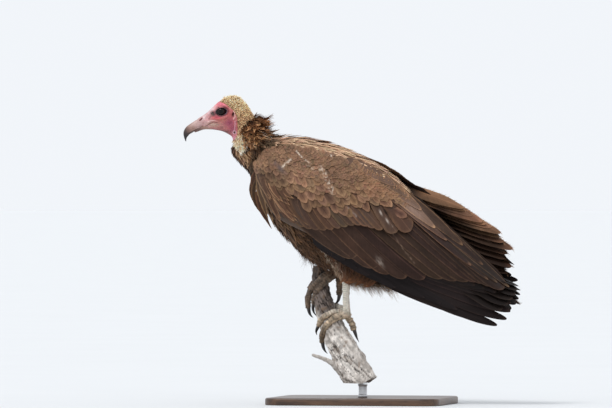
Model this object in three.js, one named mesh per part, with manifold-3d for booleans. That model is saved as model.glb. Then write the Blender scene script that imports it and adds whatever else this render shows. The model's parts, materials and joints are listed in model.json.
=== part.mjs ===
// A hooded vulture perched on a short length of dead branch, at life size, as a still display model.
// Millimetres, +Z up. The bird faces -X; -Y is its left side. The origin is the middle of the
// underside of the display base.
import * as THREE from 'three';
import { mergeVertices } from 'three/addons/utils/BufferGeometryUtils.js';
import Module from 'manifold-3d';

const wasm = await Module();
wasm.setup();

// ---- driving dimensions ----
const GAP = 0.45;               // clearance between neighbouring solids
const TURN = (12 * Math.PI) / 180; // the side elevation is drawn on a plane turned this far from the X axis
const HEAD_PIVOT_U = -194;      // the head turns with the elevation plane about this point of the neck
const EYE_RADIUS = 10;
const EYE_SIDE = 12.1;          // eyeball centre from the head's mid plane
const KNOB = [-88.5, 204, 2];   // u, h, y of a broken knot on the branch
const BASE = { length: 300, width: 224, height: 12, corner: 30 };
const ROD = { radius: 8, sides: 16 };
const BRANCH_FOOT = 36;         // height of the branch's horizontal cut

// trunk with its contour feathers: back u, h, breast u, h, half width
const TRUNK = [
  [-159.8, 442.0, -175.1, 409.7, 14],
  [-144.5, 456.3, -182.6, 394.4, 32],
  [-120.7, 458.0, -181.0, 368.9, 45],
  [-86.7, 452.9, -169.2, 331.5, 57],
  [-49.3, 443.2, -134.3, 290.7, 66],
  [-6.8, 425.8, -90.8, 248.2, 69],
  [32.3, 403.6, -40.8, 226.9, 63],
  [64.6, 378.2, 10.2, 206.5, 52],
  [88.4, 350.2, 51.0, 204.0, 38],
  [110.5, 309.4, 83.3, 227.8, 24],
  [125.8, 273.7, 110.5, 249.9, 9],
];
// neck with down and ruff: nape u, h, throat u, h, half width
const NECK = [
  [-196.2, 494.7, -223.7, 470.9, 19.5],
  [-188.0, 489.9, -224.6, 457.3, 22.5],
  [-175.9, 481.8, -224.6, 445.4, 26.5],
  [-163.2, 471.6, -222.7, 430.8, 31],
  [-152.2, 463.1, -213.5, 413.9, 37],
  [-137.7, 458.0, -192.8, 396.9, 42],
];
// head from nape to cere: crown u, h, jaw u, h, half width
const HEAD = [
  [-187.0, 491.3, -187.0, 483.6, 2.5],
  [-190.1, 500.6, -189.4, 472.6, 11],
  [-196.2, 510.7, -195.2, 464.4, 17.5],
  [-205.4, 519.2, -204.7, 459.0, 21.5],
  [-216.6, 523.9, -216.2, 454.9, 23],
  [-229.2, 522.4, -225.8, 457.0, 22.6],
  [-239.7, 517.5, -236.3, 464.1, 20.8],
  [-249.2, 510.0, -247.2, 466.1, 17],
  [-257.7, 502.2, -257.4, 467.5, 13],
  [-265.2, 494.7, -265.9, 468.3, 9.8],
  [-269.3, 488.9, -272.3, 469.9, 7],
];
// upper bill from base to hook: culmen u, h, cutting edge u, h, half width
const BILL_UPPER = [
  [-261.1, 498.1, -261.1, 477.0, 8.6],
  [-269.4, 491.6, -270.3, 474.0, 7.7],
  [-277.8, 486.2, -277.1, 469.5, 6.8],
  [-285.6, 481.4, -282.9, 465.8, 6.0],
  [-292.7, 476.7, -289.0, 461.7, 5.2],
  [-298.9, 472.1, -293.8, 459.0, 4.3],
  [-302.8, 466.5, -296.1, 456.3, 3.4],
  [-304.3, 460.7, -298.2, 453.9, 2.4],
  [-303.3, 453.9, -299.2, 450.5, 1.5],
  [-300.9, 447.4, -299.7, 446.4, 0.5],
];
// lower bill from base to tip: cutting edge u, h, chin u, h, half width
const BILL_LOWER = [
  [-258.4, 478.4, -258.4, 467.2, 7.6],
  [-267.8, 475.3, -267.8, 467.2, 7],
  [-276.2, 470.9, -275.4, 464.4, 6],
  [-282.5, 466.8, -281.5, 461.4, 4.8],
  [-288.3, 463.1, -287.5, 459.3, 3],
];
// centre of the left eyeball in the head plane
const EYE = [-239.0, 497.2];
// folded left wing from wrist to tip: upper edge u, h, lower edge u, h, y at the upper edge, middle and lower edge, thickness
const WING = [
  [-171.7, 419.9, -180.2, 397.8, -40, -46, -44, 5],
  [-159.8, 431.8, -177.7, 365.5, -45, -64, -54, 14],
  [-124.1, 442.8, -154.7, 311.1, -43, -80, -65, 20],
  [-73.1, 438.6, -105.4, 278.8, -37, -89, -73, 22],
  [-23.8, 423.3, -47.6, 255.0, -30, -90, -75, 20],
  [23.8, 399.5, 3.4, 234.6, -24, -83, -74, 16],
  [69.7, 363.8, 52.7, 215.9, -20, -74, -69, 12],
  [115.6, 320.4, 107.1, 215.0, -18, -63, -64, 9],
  [159.8, 282.2, 158.1, 212.5, -16, -52, -59, 6.5],
  [202.3, 243.1, 198.9, 207.4, -15, -41, -51, 4.5],
  [241.4, 204.0, 236.3, 192.9, -16, -30, -42, 3],
];
// stack of primaries below the folded left wing: upper edge u, h, lower edge u, h, y, thickness
const WING_TIP = [
  [-27.2, 263.5, -34.0, 246.5, -62, 4],
  [17.0, 258.4, 8.5, 218.4, -61, 7],
  [64.6, 241.4, 61.2, 192.8, -57, 7],
  [132.6, 227.8, 127.5, 171.0, -52, 7],
  [183.6, 212.5, 173.4, 155.4, -48, 6],
  [221.0, 195.5, 204.0, 147.0, -45, 4.5],
  [238.0, 181.9, 219.3, 143.7, -43, 3],
];
// their free tips: root, tip, width
const PRIMARIES = [
  [[158.1, 176.8, -50], [227.5, 134.6, -45.5], 17],
  [[170.0, 183.6, -49], [244.1, 145.9, -44.5], 20],
  [[183.6, 193.8, -48], [251.6, 161.5, -43], 18],
];
// inner flight feathers of the left wing: root, tip, width
const INNER_FEATHERS = [
  [[115.6, 309.4, -22], [249.0, 198.9, -18], 16],
  [[132.6, 285.6, -30], [239.7, 187.0, -26], 18],
  [[107.1, 270.3, -45], [212.5, 202.3, -40], 26],
];
// inner flight feathers of the right wing, whose tips stand clear above the left wing
const INNER_FEATHERS_RIGHT = [
  [[68.0, 368.9, 16], [171.7, 333.2, 8], 34],
  [[85.0, 360.4, 20], [204.0, 310.1, 9], 40],
  [[115.6, 336.6, 26], [234.6, 290.7, 10], 38],
  [[141.1, 309.4, 32], [254.3, 263.5, 12], 42],
  [[149.6, 282.2, 38], [252.6, 233.6, 15], 42],
  [[158.1, 258.4, 44], [244.8, 222.7, 18], 32],
  [[132.6, 248.2, 52], [267.9, 170.0, 44], 20],
];
// left half of the tail, central feather first, in x, y, z: root, tip, width
const RECTRICES = [
  [[76, -3, 286], [271, -5, 201], 36],
  [[76, -6, 283.5], [271, -14, 194.5], 36],
  [[75, -9, 281], [269, -23, 187], 36],
  [[74, -12, 278], [265, -31, 179.5], 36],
  [[73, -15, 275], [259, -38, 171], 36],
  [[72, -18, 272], [250, -43, 162], 34],
];
// hackles standing off the nape: root, tip, width
const HACKLES = [
  [[-193.8, 486.2, -8], [-174.2, 484.5, -8], 9],
  [[-190.4, 481.1, 6], [-165.6, 479.1, 10], 9],
  [[-183.6, 476.0, -10], [-159.8, 471.9, -6], 10],
  [[-178.5, 472.6, 4], [-152.3, 465.5, 2], 11],
  [[-193.8, 484.5, 9], [-180.2, 487.2, 14], 8],
  [[-170.0, 462.4, -18], [-142.8, 453.1, -14], 11],
];
// long plumes of breast and flank: root, tip, width, bow
const BREAST_PLUMES = [
  [[-180.2, 382.5, -30], [-189.4, 334.9, -30], 17, 1.5],
  [[-180.2, 374.0, -32], [-178.5, 322.1, -31], 15, 1],
  [[-176.8, 360.4, -28], [-165.6, 315.5, -29], 11, 0],
  [[-170.0, 336.6, -36], [-125.8, 275.4, -34], 14, 0],
  [[-149.6, 302.6, -40], [-86.0, 231.5, -34], 19, -3],
  [[-122.4, 282.2, -36], [-93.5, 243.1, -18], 14, 0],
];
// loose plumes of the vent: root, tip, width, bow
const VENT_PLUMES = [
  [[-23.8, 241.4, -16], [-8.5, 194.5, -22], 16],
  [[-10.2, 238.0, -14], [10.2, 191.1, -20], 17],
  [[0.0, 234.6, -12], [27.2, 190.4, -18], 18],
  [[17.0, 227.8, -10], [53.7, 182.6, -12], 18],
  [[23.8, 224.4, 4], [62.9, 189.4, 10], 20],
  [[34.0, 224.4, 12], [69.7, 195.5, 20], 15],
];
// feathered left shin from knee to heel: front u, h, back u, h, y, half width
const THIGH_LEFT = [
  [-68.0, 302.6, -3.4, 309.4, -50, 25],
  [-69.7, 280.5, 25.5, 273.7, -51, 25],
  [-61.2, 258.4, 40.8, 238.0, -48, 22],
  [-49.3, 238.0, 40.8, 210.8, -44, 17],
  [-38.2, 222.7, 13.6, 198.9, -39, 12],
  [-34.7, 210.8, -19.4, 204.8, -36, 7.6],
];
// feathered right shin
const THIGH_RIGHT = [
  [-61.2, 323.0, 6.8, 333.2, 50, 24],
  [-57.8, 300.9, 30.6, 302.6, 52, 24],
  [-47.6, 280.5, 34.0, 273.7, 52, 20],
  [-32.3, 265.2, 20.4, 253.3, 51, 14],
  [-20.4, 259.2, -1.7, 249.9, 50, 8],
];
// bare left tarsus: u, h, y, radius
const TARSUS_LEFT = [
  [-27.2, 215.9, -36, 6.8],
  [-26.5, 205.7, -35.6, 7.3],
  [-27.2, 185.3, -34.5, 6.2],
  [-26.5, 166.6, -33.4, 6.8],
  [-27.2, 153.0, -32.6, 8],
];
// bare right tarsus
const TARSUS_RIGHT = [
  [-10.2, 258.4, 50, 6.8],
  [-15.3, 251.6, 48, 7.2],
  [-27.2, 239.7, 40, 6.2],
  [-37.4, 229.5, 30, 6.6],
  [-42.5, 223.5, 22, 7.6],
];
// left toes, middle, inner, outer, hind: centre line, radius at root and tip
const TOES_LEFT = [
  [[[-29.6, 149.6, -32], [-42.5, 147.6, -43], [-54.4, 140.2, -46], [-62.9, 129.2, -44], [-67.1, 117.3, -38.5], [-67.5, 106.2, -34]], 5.6, 4.3],
  [[[-31.6, 152.2, -30], [-44.2, 156.4, -37], [-57.8, 152.3, -41], [-68.0, 144.5, -39], [-73.4, 133.6, -33]], 5.2, 4.1],
  [[[-32.3, 153.7, -24], [-35.7, 161.5, -8], [-44.2, 165.9, 7.5], [-56.1, 167.4, 15], [-68.0, 163.2, 14.5]], 5.2, 4.1],
  [[[-26.2, 148.6, -30], [-18.0, 138.7, -27], [-13.6, 126.6, -27]], 5.4, 4.2],
];
// left claws: centre line, root radius
const CLAWS_LEFT = [
  [[[-67.5, 108.0, -34.5], [-66.0, 97.8, -31.8], [-62.9, 90.8, -31.4], [-58.8, 86.0, -33]], 3.5],
  [[[-72.8, 135.3, -33.6], [-76.5, 127.8, -29.6], [-77.9, 122.4, -27], [-76.5, 117.3, -26]], 3.3],
  [[[-66.3, 163.9, 14.8], [-73.4, 159.1, 12], [-77.2, 153.0, 8], [-77.5, 148.2, 5]], 3.3],
  [[[-14.1, 128.0, -27], [-11.2, 119.7, -26.6], [-8.8, 112.9, -27.4], [-5.4, 105.7, -29.6]], 3.4],
];
// right toes
const TOES_RIGHT = [
  [[[-44.9, 220.3, 18], [-53.4, 221.0, 6], [-64.6, 216.2, -6.5], [-77.3, 205.0, -9], [-87.4, 192.1, -3], [-91.8, 176.8, 4], [-91.0, 164.0, 8]], 5.6, 4.3],
  [[[-43.5, 221.0, 16], [-52.7, 214.2, 2], [-64.9, 205.7, -8], [-75.1, 193.8, -12], [-80.2, 181.0, -9.5], [-81.9, 171.7, -5]], 5.2, 4.1],
  [[[-44.2, 223.4, 23], [-54.4, 221.3, 31], [-68.0, 214.9, 33.5], [-81.6, 205.0, 30], [-89.1, 195.5, 24]], 5.2, 4.1],
  [[[-40.8, 221.7, 20], [-38.4, 209.1, 15], [-38.1, 195.5, 10], [-38.4, 185.3, 6]], 5.4, 4.2],
];
// right claws
const CLAWS_RIGHT = [
  [[[-91.1, 165.8, 7.6], [-89.8, 156.4, 9], [-87.0, 150.3, 9.5], [-83.0, 146.2, 8.5]], 3.5],
  [[[-81.8, 173.1, -5.6], [-83.3, 163.2, -2.6], [-81.6, 155.4, -1], [-77.5, 149.6, -1]], 3.3],
  [[[-88.4, 196.9, 24.6], [-91.5, 188.7, 20.6], [-91.8, 182.2, 18], [-89.4, 177.1, 17]], 3.3],
  [[[-38.2, 186.7, 6.4], [-39.8, 177.5, 4.6], [-43.5, 171.7, 4.4], [-49.3, 168.6, 5.4]], 3.4],
];
// dead branch from its cut foot to its broken top: u, h, y, radius
const BRANCH = [
  [1.0, 33.1, -35, 26.2],
  [-14.3, 60.4, -34.5, 26.2],
  [-29.9, 90.1, -33, 24.6],
  [-42.5, 115.6, -29, 22],
  [-52.7, 139.4, -21, 19.6],
  [-61.2, 161.5, -10.5, 17.4],
  [-68.2, 185.3, 0.5, 15.2],
  [-70.7, 210.8, 11.5, 13],
  [-71.4, 234.6, 21, 12.2],
];
// side twig
const TWIG = [
  [-28.9, 51.0, -36, 9.5],
  [-41.6, 63.6, -38, 7.6],
  [-53.0, 71.7, -40, 4.6],
  [-68.7, 78.9, -42, 3.2],
  [-85.7, 84.3, -43, 2.2],
];

const SIN = Math.sin(TURN), COS = Math.cos(TURN);
// a point of the side elevation, u along and h up, at depth y
const side = (u, h, y) => new THREE.Vector3((u - y * SIN) / COS, y, h);
// a point of the head plane, w across it towards the bird's right
const headAt = (u, h, w) => new THREE.Vector3(
  HEAD_PIVOT_U / COS + (u - HEAD_PIVOT_U) * COS - w * SIN,
  (u - HEAD_PIVOT_U) * SIN + w * COS, h);

// Catmull-Rom through the rows of a table of numbers, t from 0 to 1
function along(rows, t) {
  const n = rows.length - 1, x = Math.min(Math.max(t, 0), 1) * n, i = Math.min(Math.floor(x), n - 1), f = x - i;
  const a = rows[Math.max(i - 1, 0)], b = rows[i], c = rows[i + 1], d = rows[Math.min(i + 2, n)];
  return b.map((_, k) => {
    const m0 = (c[k] - a[k]) / (i > 0 ? 2 : 1), m1 = (d[k] - b[k]) / (i < n - 1 ? 2 : 1);
    const f2 = f * f, f3 = f2 * f;
    return (2 * f3 - 3 * f2 + 1) * b[k] + (f3 - 2 * f2 + f) * m0 + (-2 * f3 + 3 * f2) * c[k] + (f3 - f2) * m1;
  });
}

// A three.js geometry down to its shared corners.
function plain(g) {
  g.deleteAttribute('normal');
  g.deleteAttribute('uv');
  return mergeVertices(g, 1e-4);
}

const signedPower = (x, p) => Math.sign(x) * Math.pow(Math.abs(x), p);

// A closed lofted body: a capped cylinder whose rings are laid where ring(t, angle) says, t from 0 to 1,
// and which then swells by grow.
function loft(rings, sides, ring, grow = 0) {
  const made = plain(new THREE.CylinderGeometry(1, 1, 1, sides, rings, false));
  const p = made.getAttribute('position'), v = new THREE.Vector3(), ends = [], centre = {};
  for (let i = 0; i < p.count; i++) {
    v.fromBufferAttribute(p, i);
    const t = Math.min(Math.max(0.5 - v.y, 0), 1), r = Math.hypot(v.x, v.z);
    ends.push(t < 0.001 ? 0 : t > 0.999 ? 1 : -1);
    let q;
    if (r > 0.5) q = ring(t, Math.atan2(v.x, v.z));
    else {
      centre[ends[i]] = i;
      q = new THREE.Vector3();
      for (let k = 0; k < sides; k++) q.add(ring(t, (k / sides) * 2 * Math.PI));
      q.multiplyScalar(1 / sides);
    }
    p.setXYZ(i, q.x, q.y, q.z);
  }
  const m = turnedOut(made);
  if (grow) {
    m.computeVertexNormals();
    const n = m.getAttribute('normal');
    for (let i = 0; i < p.count; i++) {
      v.fromBufferAttribute(p, i).addScaledVector(new THREE.Vector3().fromBufferAttribute(n, i), grow * 1.3);
      if (ends[i] >= 0) v.addScaledVector(new THREE.Vector3().fromBufferAttribute(n, centre[ends[i]]), grow * 0.8);
      p.setXYZ(i, v.x, v.y, v.z);
    }
    m.deleteAttribute('normal');
  }
  return solid(m);
}

// A geometry turned outside out where a mapping mirrored it.
function turnedOut(g) {
  const p = g.getAttribute('position').array, idx = g.index.array;
  let vol = 0;
  for (let i = 0; i < idx.length; i += 3) {
    const [a, b, c] = [idx[i] * 3, idx[i + 1] * 3, idx[i + 2] * 3];
    vol += p[a] * (p[b + 1] * p[c + 2] - p[b + 2] * p[c + 1]) - p[a + 1] * (p[b] * p[c + 2] - p[b + 2] * p[c])
      + p[a + 2] * (p[b] * p[c + 1] - p[b + 1] * p[c]);
  }
  if (vol < 0) for (let i = 0; i < idx.length; i += 3) [idx[i + 1], idx[i + 2]] = [idx[i + 2], idx[i + 1]];
  return g;
}

// A geometry as a manifold solid, to be joined and cut.
function solid(g) {
  return new wasm.Manifold(new wasm.Mesh({
    numProp: 3, vertProperties: Float32Array.from(g.getAttribute('position').array), triVerts: Uint32Array.from(g.index.array),
  }));
}

// A body given by two opposite edges and a half width.
// place(u, h, w) puts a point; power squares the section, keel widens its first edge.
function body(rows, rings, sides, place, grow = 0, { power = 1, keel = 0 } = {}) {
  return loft(rings, sides, (t, angle) => {
    const [au, ah, bu, bh, w] = along(rows, t);
    const c = signedPower(Math.cos(angle), power), s = signedPower(Math.sin(angle), power);
    return place((au + bu) / 2 + ((au - bu) / 2) * c, (ah + bh) / 2 + ((ah - bh) / 2) * c, w * (1 + keel * c) * s);
  }, grow);
}

// A tube along points with a radius at each, given as [Vector3, radius].
function tube(stations, rings, sides, grow = 0, squash = 1) {
  const curve = new THREE.CatmullRomCurve3(stations.map((s) => s[0]), false, 'centripetal');
  const frames = curve.computeFrenetFrames(rings, false), radii = stations.map((s) => [s[1]]);
  return loft(rings, sides, (t, angle) => {
    const i = Math.round(t * rings), r = along(radii, t)[0];
    return curve.getPoint(t).addScaledVector(frames.normals[i], Math.cos(angle) * r).addScaledVector(frames.binormals[i], Math.sin(angle) * r * squash);
  }, grow);
}

// One feather blade: a flat plate from root to tip, swollen by grow. out is the side its face looks to,
// bow lifts the middle of its length sideways, blunt rounds its tip.
function vane(root, tip, width, thick, out, grow = 0, { rings = 2, blunt = 0.5, bow = 0 } = {}) {
  const dir = tip.clone().sub(root), len = dir.length();
  dir.normalize();
  const across = new THREE.Vector3().crossVectors(dir, out).normalize();
  const face = new THREE.Vector3().crossVectors(across, dir).normalize();
  if (across.z < 0) across.negate();
  return loft(rings, 4, (t, angle) => {
    const s = Math.pow(t, 0.6), c = Math.sign(Math.cos(angle + Math.PI / 4)), d = Math.sign(Math.sin(angle + Math.PI / 4));
    const w = (width / 2) * (0.45 + 0.55 * Math.min(s / 0.35, 1)) * Math.pow(Math.max(1 - Math.pow(s, 3), 0.01), blunt);
    return root.clone().addScaledVector(dir, s * len + (2 * s - 1) * grow)
      .addScaledVector(across, bow * 4 * s * (1 - s) + c * (Math.max(w, 0.7) + grow))
      .addScaledVector(face, d * ((thick / 2) * (1 - 0.45 * s) + grow));
  });
}

const unite = (list) => wasm.Manifold.union(list);
const biggest = (m) => m.decompose().sort((a, b) => b.volume() - a.volume())[0];
// What is left of a body, in one piece, after its neighbours are taken out of it.
const cut = (m, ...tools) => biggest(m.subtract(unite(tools)).simplify(0.03));

// ---- trunk, neck, head ----
const trunkAt = (u, h, w) => new THREE.Vector3(u / COS, w, h);
const mirror = (v, sgn) => (sgn > 0 ? v.setY(-v.y) : v);
const trunkBody = (grow) => unite([
  body(TRUNK, 11, 12, trunkAt, grow, { power: 0.93, keel: 0.1 }),
  ...[-1, 1].flatMap((sgn) => BREAST_PLUMES.map(([a, b, w, bow]) =>
    vane(mirror(side(...a), sgn), mirror(side(...b), sgn), w, 6, new THREE.Vector3(-0.6, 0.6 * sgn, -0.2), grow, { bow }))),
  ...VENT_PLUMES.map(([a, b, w]) => vane(side(...a), side(...b), w, 7, new THREE.Vector3(-0.4, -0.5, -0.7), grow)),
]);
// The neck's sections turn from the head's plane to the trunk's.
const neckBody = (grow) => unite([
  body(NECK, 5, 12, (u, h, w) => {
    const f = Math.min(Math.max((u + 222) / 84, 0), 1);
    return headAt(u, h, w).lerp(trunkAt(u, h, w), f);
  }, grow),
  ...HACKLES.map(([a, b, w]) => vane(trunkAt(...a), trunkAt(...b), w, 4, new THREE.Vector3(0.3, 0, 1), grow)),
]);
const headBody = (grow) => body(HEAD, 10, 12, headAt, grow, { power: 0.96 });
const ball = (centre, radius, grow, squash = [1, 1, 1], detail = 1) => {
  const m = plain(new THREE.IcosahedronGeometry(1, detail));
  m.scale(radius * squash[0] + grow, radius * squash[1] + grow, radius * squash[2] + grow);
  m.translate(centre.x, centre.y, centre.z);
  return solid(m);
};
const eyeBody = (sgn, grow) => ball(headAt(EYE[0], EYE[1], sgn * EYE_SIDE), EYE_RADIUS, grow);
const upperBill = (grow) => body(BILL_UPPER, 9, 10, headAt, grow);

// ---- wings and tail ----
// The rear half of the right wing is carried higher than the left one's.
const RAISE = { from: -21, slope: 0.135, ease: 26 };
const raised = (v) => {
  const d = v.x - RAISE.from;
  v.y *= -1;
  v.z += (RAISE.slope * (Math.hypot(d, RAISE.ease) + d)) / 2;
  return v;
};
const wingBlade = (sgn, grow) => loft(11, 12, (t, angle) => {
  const [au, ah, bu, bh, yu, ym, yl, th] = along(WING, t), c = Math.cos(angle);
  const k = 0.5 + signedPower(c, 0.9) / 2;
  const y = yl * (1 - k) * (1 - 2 * k) + ym * 4 * k * (1 - k) + yu * k * (2 * k - 1);
  const v = side(bu + (au - bu) * k, bh + (ah - bh) * k, y - (signedPower(Math.sin(angle), 0.8) * th) / 2);
  return sgn < 0 ? v : raised(v);
}, grow);
const OUT = (sgn) => new THREE.Vector3(0.1, sgn, 0.25);
// The inner feathers of the right wing lie open towards the middle of the back.
const INNER_OUT = (sgn) => (sgn < 0 ? OUT(-1) : new THREE.Vector3(0.35, -0.65, 0.7));
const wingBody = (sgn, grow) => unite([
  wingBlade(sgn, grow),
  ...(sgn < 0 ? INNER_FEATHERS : INNER_FEATHERS_RIGHT).map(([a, b, w]) =>
    vane(side(...a), side(...b), w, 2.8, INNER_OUT(sgn), grow, { blunt: 0.4 })),
]);
const wingTip = (sgn, grow) => {
  const place = (u, h, y) => (sgn < 0 ? side(u, h, y) : raised(side(u, h, y)));
  return unite([
    loft(8, 8, (t, angle) => {
      const [au, ah, bu, bh, y, th] = along(WING_TIP, t), k = (1 + signedPower(Math.cos(angle), 0.8)) / 2;
      return place(bu + (au - bu) * k, bh + (ah - bh) * k, y - (signedPower(Math.sin(angle), 0.8) * th) / 2);
    }, grow),
    ...PRIMARIES.map(([a, b, w]) => vane(place(...a), place(...b), w, 2.6, OUT(sgn), grow)),
  ]);
};
const tailBody = (grow) => unite([-1, 1].flatMap((sgn) => RECTRICES.map(([a, b, w], i) =>
  vane(mirror(new THREE.Vector3(...a), sgn), mirror(new THREE.Vector3(...b), sgn), w, 3,
    new THREE.Vector3(0.5, sgn * (0.1 + 0.15 * i), 0.85), grow, { blunt: 0.28 }))));

// ---- legs, perch and feet ----
const shin = (rows, grow) => loft(7, 10, (t, angle) => {
  const [au, ah, bu, bh, y, w] = along(rows, t), c = Math.cos(angle), s = Math.sin(angle);
  return side((au + bu) / 2 + ((au - bu) / 2) * c, (ah + bh) / 2 + ((ah - bh) / 2) * c, y + w * s);
}, grow);
const stations = (rows) => rows.map(([u, h, y, r]) => [side(u, h, y), r]);
const tarsus = (rows, grow) => tube(stations(rows), 5, 8, grow);
const branchBody = (grow) => {
  const curve = new THREE.CatmullRomCurve3(BRANCH.map(([u, h, y]) => side(u, h, y)), false, 'centripetal');
  const rings = 14, frames = curve.computeFrenetFrames(rings, false), radii = BRANCH.map((b) => [b[3]]);
  const main = loft(rings, 12, (t, angle) => {
    const i = Math.round(t * rings), q = curve.getPoint(t);
    const r = along(radii, t)[0] * (1 + 0.03 * Math.sin(3 * angle + 7 * t) + 0.025 * Math.sin(5 * angle - 16 * t));
    return q.addScaledVector(frames.normals[i], Math.cos(angle) * r).addScaledVector(frames.binormals[i], Math.sin(angle) * r);
  }, grow);
  return unite([main, tube(stations(TWIG), 5, 6, grow), ball(side(...KNOB), 7, grow, [1, 1, 1], 1)]);
};
const toe = ([pts, r0, r1], grow) => {
  const q = pts.map((p) => side(...p)), n = q.length - 1;
  const st = q.map((p, i) => [p, r0 + ((r1 - r0) * i) / n]);
  st.push([q[n].clone().add(q[n].clone().sub(q[n - 1]).normalize().multiplyScalar(r1 * 0.55)), r1 * 0.5]);
  return tube(st, n + 2, 6, grow);
};
const footBody = (toes, grow) => unite([ball(side(...toes[0][0][0]), 1, grow, [9.5, 8, 7.5], 1), ...toes.map((t) => toe(t, grow))]);
const claw = ([pts, r]) => {
  const q = pts.map((p) => side(...p));
  return tube([[q[0], r], [q[1], r * 0.78], [q[2], r * 0.45], [q[3], 0.45]], 3, 5, 0, 0.85);
};

// ---- display stand ----
const rounded = (l, w, r) => {
  const s = new THREE.Shape(), x = l / 2, y = w / 2;
  s.moveTo(-x + r, -y);
  s.lineTo(x - r, -y);
  s.absarc(x - r, -y + r, r, -Math.PI / 2, 0, false);
  s.lineTo(x, y - r);
  s.absarc(x - r, y - r, r, 0, Math.PI / 2, false);
  s.lineTo(-x + r, y);
  s.absarc(-x + r, y - r, r, Math.PI / 2, Math.PI, false);
  s.lineTo(-x, -y + r);
  s.absarc(-x + r, -y + r, r, Math.PI, 1.5 * Math.PI, false);
  return s;
};
const base = plain(new THREE.ExtrudeGeometry(rounded(BASE.length, BASE.width, BASE.corner), { depth: BASE.height, bevelEnabled: false, curveSegments: 4 }));
const foot = side(...BRANCH[0].slice(0, 3));
const rod = plain(new THREE.CylinderGeometry(ROD.radius, ROD.radius, BRANCH_FOOT - BASE.height - 2 * GAP, ROD.sides, 1));
rod.rotateX(Math.PI / 2);
rod.translate(foot.x, foot.y, (BRANCH_FOOT + BASE.height) / 2);

// ---- fitting the solids together, a gap between every two ----
const trunkGrown = trunkBody(GAP), headGrown = headBody(GAP), neckGrown = neckBody(GAP);
const wingsGrown = unite([wingBody(-1, GAP), wingBody(1, GAP)]), tailGrown = tailBody(GAP);
const tipsGrown = unite([wingTip(-1, GAP), wingTip(1, GAP)]);
const below = plain(new THREE.BoxGeometry(400, 400, 100));
below.translate(0, 0, BRANCH_FOOT - 50);
const branchGrown = branchBody(GAP);
const shinsGrown = unite([shin(THIGH_LEFT, GAP), shin(THIGH_RIGHT, GAP)]);
const tarsiGrown = unite([tarsus(TARSUS_LEFT, GAP), tarsus(TARSUS_RIGHT, GAP)]);
const footLeftGrown = footBody(TOES_LEFT, GAP), footRightGrown = footBody(TOES_RIGHT, GAP);

// ---- the scene graph ----
const finish = (color, roughness, metalness = 0) => new THREE.MeshStandardMaterial({ color, roughness, metalness });
const M = {
  plumage: finish(0x7d6450, 0.85), dark: finish(0x33271f, 0.75), down: finish(0xb99a6c, 0.95), skin: finish(0xc9727c, 0.6),
  horn: finish(0x6f5a55, 0.45), eye: finish(0x14100e, 0.1), leg: finish(0xbdb7a8, 0.65), claw: finish(0x2a2724, 0.4),
  wood: finish(0xb9b2aa, 0.9), base: finish(0x3a2c22, 0.5), rod: finish(0x9a9a9a, 0.35, 1),
};
const group = new THREE.Group();
group.name = 'hooded_vulture';
const pieces = new Map();
const add = (name, m, material, parent = group) => {
  let geometry = m;
  if (!m.isBufferGeometry) {
    const g = m.getMesh(), v = new Float32Array(g.numVert * 3);
    for (let i = 0; i < g.numVert; i++) v.set(g.vertProperties.subarray(i * g.numProp, i * g.numProp + 3), i * 3);
    geometry = new THREE.BufferGeometry().setAttribute('position', new THREE.BufferAttribute(v, 3)).setIndex(new THREE.BufferAttribute(Uint32Array.from(g.triVerts), 1));
    geometry.computeVertexNormals();
  }
  const mesh = new THREE.Mesh(geometry, material);
  mesh.name = name;
  parent.add(mesh);
  pieces.set(name, mesh);
};
add('trunk', biggest(trunkBody(0).simplify(0.03)), M.plumage);
add('neck', cut(neckBody(0), trunkGrown, headGrown), M.down);
add('head', cut(headBody(0), eyeBody(-1, GAP), eyeBody(1, GAP), trunkGrown), M.skin);
add('bill_upper', cut(upperBill(0), headGrown), M.horn);
add('bill_lower', cut(body(BILL_LOWER, 4, 8, headAt), headGrown, upperBill(GAP)), M.horn);
add('eye_left', eyeBody(-1, 0), M.eye);
add('eye_right', eyeBody(1, 0), M.eye);
add('wing_left', cut(wingBody(-1, 0), trunkGrown, neckGrown), M.plumage);
add('wing_right', cut(wingBody(1, 0), trunkGrown, neckGrown, wingBody(-1, GAP)), M.plumage);
add('wing_tip_left', cut(wingTip(-1, 0), trunkGrown, wingsGrown, tailGrown), M.dark);
add('wing_tip_right', cut(wingTip(1, 0), trunkGrown, wingsGrown, tailGrown), M.dark);
add('tail', cut(tailBody(0), trunkGrown, wingBody(-1, 3 * GAP), wingBody(1, 3 * GAP)), M.dark);
add('thigh_left', cut(shin(THIGH_LEFT, 0), trunkGrown, wingsGrown, tipsGrown), M.plumage);
add('thigh_right', cut(shin(THIGH_RIGHT, 0), trunkGrown, wingsGrown, tipsGrown), M.plumage);
add('tarsus_left', cut(tarsus(TARSUS_LEFT, 0), shinsGrown, trunkGrown, branchGrown), M.leg);
add('tarsus_right', cut(tarsus(TARSUS_RIGHT, 0), shinsGrown, trunkGrown, branchGrown), M.leg);
add('foot_left', cut(footBody(TOES_LEFT, 0), tarsiGrown, branchGrown, trunkGrown), M.leg);
add('foot_right', cut(footBody(TOES_RIGHT, 0), tarsiGrown, branchGrown, trunkGrown, footLeftGrown, shinsGrown), M.leg);
const TOE_NAMES = ['middle', 'inner', 'outer', 'hind'];
CLAWS_LEFT.forEach((c, i) => add('claw_left_' + TOE_NAMES[i], cut(claw(c), footLeftGrown, branchGrown), M.claw));
CLAWS_RIGHT.forEach((c, i) => add('claw_right_' + TOE_NAMES[i], cut(claw(c), footRightGrown, footLeftGrown, branchGrown), M.claw));
add('perch_branch', cut(branchBody(0), solid(below), trunkGrown), M.wood);
add('stand_rod', rod, M.rod);
add('stand_base', base, M.base);

export default group;
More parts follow.
